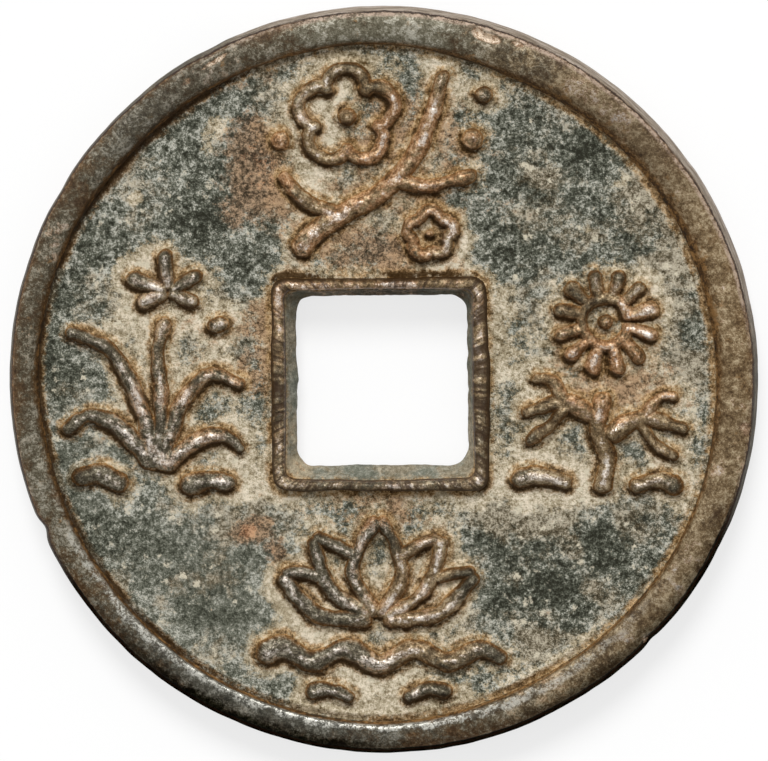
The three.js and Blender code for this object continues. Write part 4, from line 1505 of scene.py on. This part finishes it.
def edge_lines(n, colour):
    """Adds a broken pale line along the edge, bare metal with a painted highlight that is
    strongest at the upper right, and a dark line just outside it.
    """
    at_lip = n.nudged(n.mark("lip"), n.fleck, 0.05)
    along_edge = n.times(n.spread(at_lip, 0.02, 0.08), n.spread(at_lip, 0.26, 0.12))
    # The pale line along the edge: rubbed metal with a painted highlight.
    lit_and_rubbed = n.spread(n.nudged(n.mark("lit_and_rubbed"), n.mottle, 0.5), 0.2, 0.9, 0, 0.9)
    broken = n.spread(n.nudged(n.fleck, n.grain, 0.6), 0.1, 0.8, 0.2, 1)
    colour = n.blend(n.times(along_edge, lit_and_rubbed, broken), colour, rgb(182, 160, 142))
    outside = n.times(n.spread(at_lip, -0.05, -0.02), n.spread(at_lip, 0.06, 0.02))
    dark = n.times(outside, n.spread(n.mottle, 0.1, 0.5, 0.5, 0.95))
    return n.blend(dark, colour, rgb(38, 20, 10))


# %% The outer rim
def rim_bronze():
    """The rim: its face, its side, the lines between them, and pale copper in the chips."""
    n = coin_material("rim_bronze")
    skin = patina(n, contrast=0.72)
    tone, side = skin["tone"], n.mark("side")
    black = n.ramp(tone, (0.0, 0, 0, 0), (0.5, 10, 9, 2), (1.0, 50, 47, 34))
    face, gloom, outer = rim_face(n, skin, black)
    colour = edge_lines(n, n.blend(side, face, filed_side(n, black)))
    chip = n.nudged(n.mark("chip"), n.fleck, 0.3)
    fresh = n.scaled(chip, 0.8, n.sums("ADD", tone, -0.5))
    copper = n.ramp(fresh, (0.0, 84, 60, 40), (0.5, 158, 130, 102), (1.0, 244, 229, 208))
    chip = n.spread(chip, 0.25, 0.6)
    skin["colour"] = n.blend(chip, colour, copper)
    skin["specular"] = n.scaled(outer, -0.3, 0.3)
    skin["roughness"] = n.scaled(chip, 0.2, n.scaled(gloom, -0.12, skin["roughness"]))
    metal = n.scaled(gloom, 0.2, n.times(skin["metal"], 0.6))
    skin["metal"] = n.scaled(chip, -0.4, n.scaled(side, -0.2, metal))
    return finished(n, skin, 0.012)


rim_look = rim_bronze()
ring_piece("outer_rim_cast", rim_points, rim_marks, rim_look, ["outer_rim"])

# %% [markdown]
# The raised frame round the hole and the wall of the hole are sections carried round a square.
# At each place of the section the path is the rounded square of that size, so the corners stay
# true whatever the section does. The four sides differ, as they do on the coin, so a number
# may be given for each side, and goes over smoothly to the next at the corners.

# %% The way round a square
FRAME_AROUND = 720


def round_square(count):
    """Angles that walk round a square at an even pace: the arc tangent of an even share of each
    side, a quarter turn at a time."""
    quarter = np.arctan(np.linspace(-1, 1, count // 4, endpoint=False))
    return np.concatenate([quarter + k * math.pi / 2 for k in range(4)]) + HOLE_TURN


square_way = round_square(FRAME_AROUND)
square_path = np.stack([np.cos(square_way), np.sin(square_way), 0 * square_way], axis=1)


def by_side(right, top, left, bottom):
    """A number for each of the square's sides, going over smoothly at the corners: the sides'
    numbers weighted by the squared cosine of the angle from each side's middle."""
    turns = square_way[:, None] - np.arange(4) * math.pi / 2
    return (np.maximum(np.cos(turns), 0) ** 2) @ np.array([right, top, left, bottom])


def side_column(right, top, left, bottom):
    """The same numbers as a column, one for each step of the way round."""
    return by_side(right, top, left, bottom)[:, None]


def square_ring(levels, section_count):
    """A closed section carried round the hole. Each level is (half side, corner radius, z) and
    may end with a middle of its own. Half sides may vary along the way."""
    corners = []
    for half, corner, z, *middle in levels:
        middle = middle[0] if middle else HOLE_MIDDLE
        half = np.broadcast_to(half, square_way.shape)
        side = 2 * half.mean()
        at = square_points(square_way, side, corner, middle) - middle
        at = middle + at * (2 * half / side)[:, None]
        corners.append(np.concatenate([at, np.full((FRAME_AROUND, 1), z)], axis=1))
    return evenly(rounded(np.stack(corners)), section_count)


def past_square(points, half_side):
    """How far a section's points lie outside the frame's outer square, whose half side may
    vary along the way."""
    return square_distance(points[..., 0], points[..., 1], 2 * half_side[:, None], FRAME_CORNER)


def frame_levels(mouth, width, foot, height):
    """The section of a raised frame, from its mouth up over its rounded top and down to its
    foot. The height is below zero for a frame on the back."""
    out = mouth + width
    sunk = foot - math.copysign(0.3, height)
    return [
        (mouth + 0.02, MOUTH_CORNER, sunk),
        (mouth + 0.02, MOUTH_CORNER, foot + 0.1 * height),
        (mouth + 0.06, MOUTH_CORNER, foot + 0.8 * height),
        (mouth + 0.3 * width, 0.46, foot + 1.05 * height),
        (mouth + 0.6 * width, 0.5, foot + 1.05 * height),
        (mouth + 0.88 * width, 0.58, foot + 0.74 * height),
        (out, FRAME_CORNER, foot + 0.05 * height),
        (out + 0.02, FRAME_CORNER, sunk),
    ]


print("walk round the square:", FRAME_AROUND, "steps")

# %% [markdown]
# The front frame has fine cross ribs along its top, left by the tool that cut the mould. It is
# widest at the right and narrowest at the top and bottom. Dark dirt fills the hollows between
# the ribs, so the material reads one more mark, rib, which is high on their backs.


# %% The front frame
def frame_bronze():
    """The frames: the patina, dark brown in the hollows between the ribs and down the flanks."""
    n = coin_material("frame_bronze")
    skin = patina(n, contrast=0.7)
    hollow = n.spread(n.nudged(n.mark("rib"), n.fleck, 0.4), 0.7, 0.25, 0, 0.85)
    skin["colour"] = n.blend(hollow, skin["colour"], rgb(50, 31, 8))
    skin["metal"] = n.times(skin["metal"], 0.8)
    return finished(n, skin, 0.01)


FRAME_SECTION = 48
RIB_SPACING = 0.12
frame_look = frame_bronze()
frame_wander = 0.03 * noise(square_path * 6, 1.0, 61, 2)
mouth = FRONT_MOUTH / 2 - by_side(0.2, 0.1, 0.18, 0) + 0.5 * frame_wander
front_width = by_side(0.86, 0.51, 0.74, 0.52) + frame_wander
front_height = front_frame_high[2] - FIELD_TOP
front_levels = frame_levels(mouth, front_width, FIELD_TOP, front_height)
frame_points = square_ring(front_levels, FRAME_SECTION)
strides = np.diff(frame_points[:, 0], axis=0, prepend=frame_points[:1, 0])
along = np.cumsum(np.linalg.norm(strides, axis=1))
frame_rise = (frame_points[..., 2] - FIELD_TOP) / front_height
rib_places = np.stack([along / RIB_SPACING, 0 * along, 0 * along], axis=1)
ribs = noise(rib_places, 1.0, 65, 2)[:, None] * np.clip(frame_rise, 0, 1)
frame_points[..., 2] += 0.05 * ribs + 0.03 * noise(frame_points, 0.5, 63, 3)
frame_marks = {
    "foot": np.minimum(past_square(frame_points, mouth + front_width), 0),
    "rise": frame_rise - side_column(0.2, 0.06, 0.16, 0.12),
    "rib": frame_rise * (0.62 + side_column(-0.22, 0.15, 0, 0.12) + 0.5 * ribs),
    "rust": side_column(0.1, 0.6, 0.35, 0.15),
    "warm": side_column(0.6, 1.0, 0.7, 0.5),
    "grime_and_shade": 0.9,
}
node = "front_frame"
ring_piece(node + "_cast", frame_points, frame_marks, frame_look, [node])

# %% [markdown]
# The wall of the hole runs in from both mouths to a throat, where the two halves of the mould met
# and a file left it a little off centre. Crust lies on it, more in the corners, and its top side,
# which faces away from the light, is left bare of crust and rust-brown, a painted shade.

# %% The wall of the hole
WALL_SECTION = 52
throat = THROAT / 2 + 0.04 * noise(square_path * 5, 1.0, 71, 3)
throat_z = FIELD_BOTTOM + 0.45 * (FIELD_TOP - FIELD_BOTTOM)
back_mouth = BACK_MOUTH / 2 + 0.5 * frame_wander
wall_levels = [
    (mouth + 0.1, MOUTH_CORNER, FIELD_TOP + 0.1),
    (mouth - 0.02, 0.45, FIELD_TOP + 0.04),
    (throat + 0.2, 0.7, throat_z + 0.4, THROAT_MIDDLE),
    (throat, 0.85, throat_z + 0.08, THROAT_MIDDLE),
    (throat + 0.01, 0.85, throat_z - 0.06, THROAT_MIDDLE),
    (throat + 0.1, 0.7, throat_z - 0.3, THROAT_MIDDLE),
    (back_mouth - 0.02, 0.45, FIELD_BOTTOM - 0.04),
    (back_mouth + 0.1, MOUTH_CORNER, FIELD_BOTTOM - 0.1),
    (back_mouth + 0.3, MOUTH_CORNER, FIELD_BOTTOM + 0.15),
    (mouth + 0.3, MOUTH_CORNER, FIELD_TOP - 0.15),
]
wall_points = square_ring(wall_levels, WALL_SECTION)
outward = (wall_points[..., :2] - THROAT_MIDDLE) / (THROAT / 2)
wall_points[..., :2] += 0.025 * noise(wall_points, 0.6, 73, 3)[..., None] * outward
wall_corner = np.clip(2 * np.abs(np.sin(2 * square_way)) - 1, 0, 1)[:, None]
wall_marks = {
    "foot": FIELD_TOP + 0.25 - wall_points[..., 2],
    # Painted shade: the top side of the hole, which faces away from the light, gets no crust and
    # more rust, so it is dark.
    "crust": side_column(0.1, -0.8, 0.3, 0.2) + 0.25 * wall_corner,
    "rust": side_column(0.2, 0.8, 0.2, 0.2),
    "warm": 0.8,
    "grime_and_shade": 0.3,
}
ring_piece("hole_wall", wall_points, wall_marks, WALL_PATINA, ["web"])

# %% [markdown]
# The back can't be seen in the photograph. Coins of this kind have a plain back, so it gets
# only a field, a lower and wider frame and the same patina, laid out with other noise.

# %% The back field
BACK_ROWS = 96
back_xy = field_ring(BACK_MOUTH, BACK_FIELD_RADIUS, BACK_ROWS, AROUND)
back_x, back_y = back_xy[..., 0], back_xy[..., 1]
back_flat = flat_points(back_x, back_y)
back_side = BACK_MOUTH + 2 * BACK_FRAME_WIDTH
back_to_frame = square_distance(back_x, back_y, back_side, FRAME_CORNER)
back_off = np.hypot(back_x - DESIGN_MIDDLE[0], back_y - DESIGN_MIDDLE[1])
back_distance = np.minimum(back_to_frame, BACK_FIELD_RADIUS - back_off)
near_edge = np.exp(-np.maximum(back_distance, 0) / 0.8)
back_marks = {
    "foot": back_distance,
    "crust": np.clip(0.38 + 0.42 * noise(back_flat, 5.0, 81, 3) + 0.4 * near_edge, 0, 1),
    "rust": np.clip(noise(back_flat, 4.0, 85, 2) - 0.1, 0, 1),
    "warm": 0.5 + 0.5 * noise(back_flat, 6.0, 87, 2),
    "rise": np.zeros(back_x.shape),
}
back_fillet = 0.08 * np.exp(-np.maximum(back_distance, 0) / 0.16)
back_z = FIELD_BOTTOM - field_height(back_x, back_y, 90) - back_fillet
points, carried = with_underside(back_xy, back_z, FIELD_BOTTOM + SLAB, back_marks)
ring_piece("back_field", points, carried, FIELD_PATINA, ["web"])

# %% The back frame
back_height = back_frame_low[2] - FIELD_BOTTOM
back_width = BACK_FRAME_WIDTH + frame_wander
back_levels = frame_levels(back_mouth, back_width, FIELD_BOTTOM, back_height)
back_points = square_ring(back_levels, FRAME_SECTION)
back_points[..., 2] += 0.03 * noise(back_points, 0.5, 93, 3)
back_rise = (back_points[..., 2] - FIELD_BOTTOM) / back_height
back_frame_marks = {
    "foot": np.minimum(past_square(back_points, back_mouth + back_width), 0),
    "rise": back_rise,
    "rib": 0.7 * back_rise,
    "rust": 0.2,
    "warm": 0.6,
}
node = "back_frame"
ring_piece(node + "_cast", back_points, back_frame_marks, frame_look, [node])
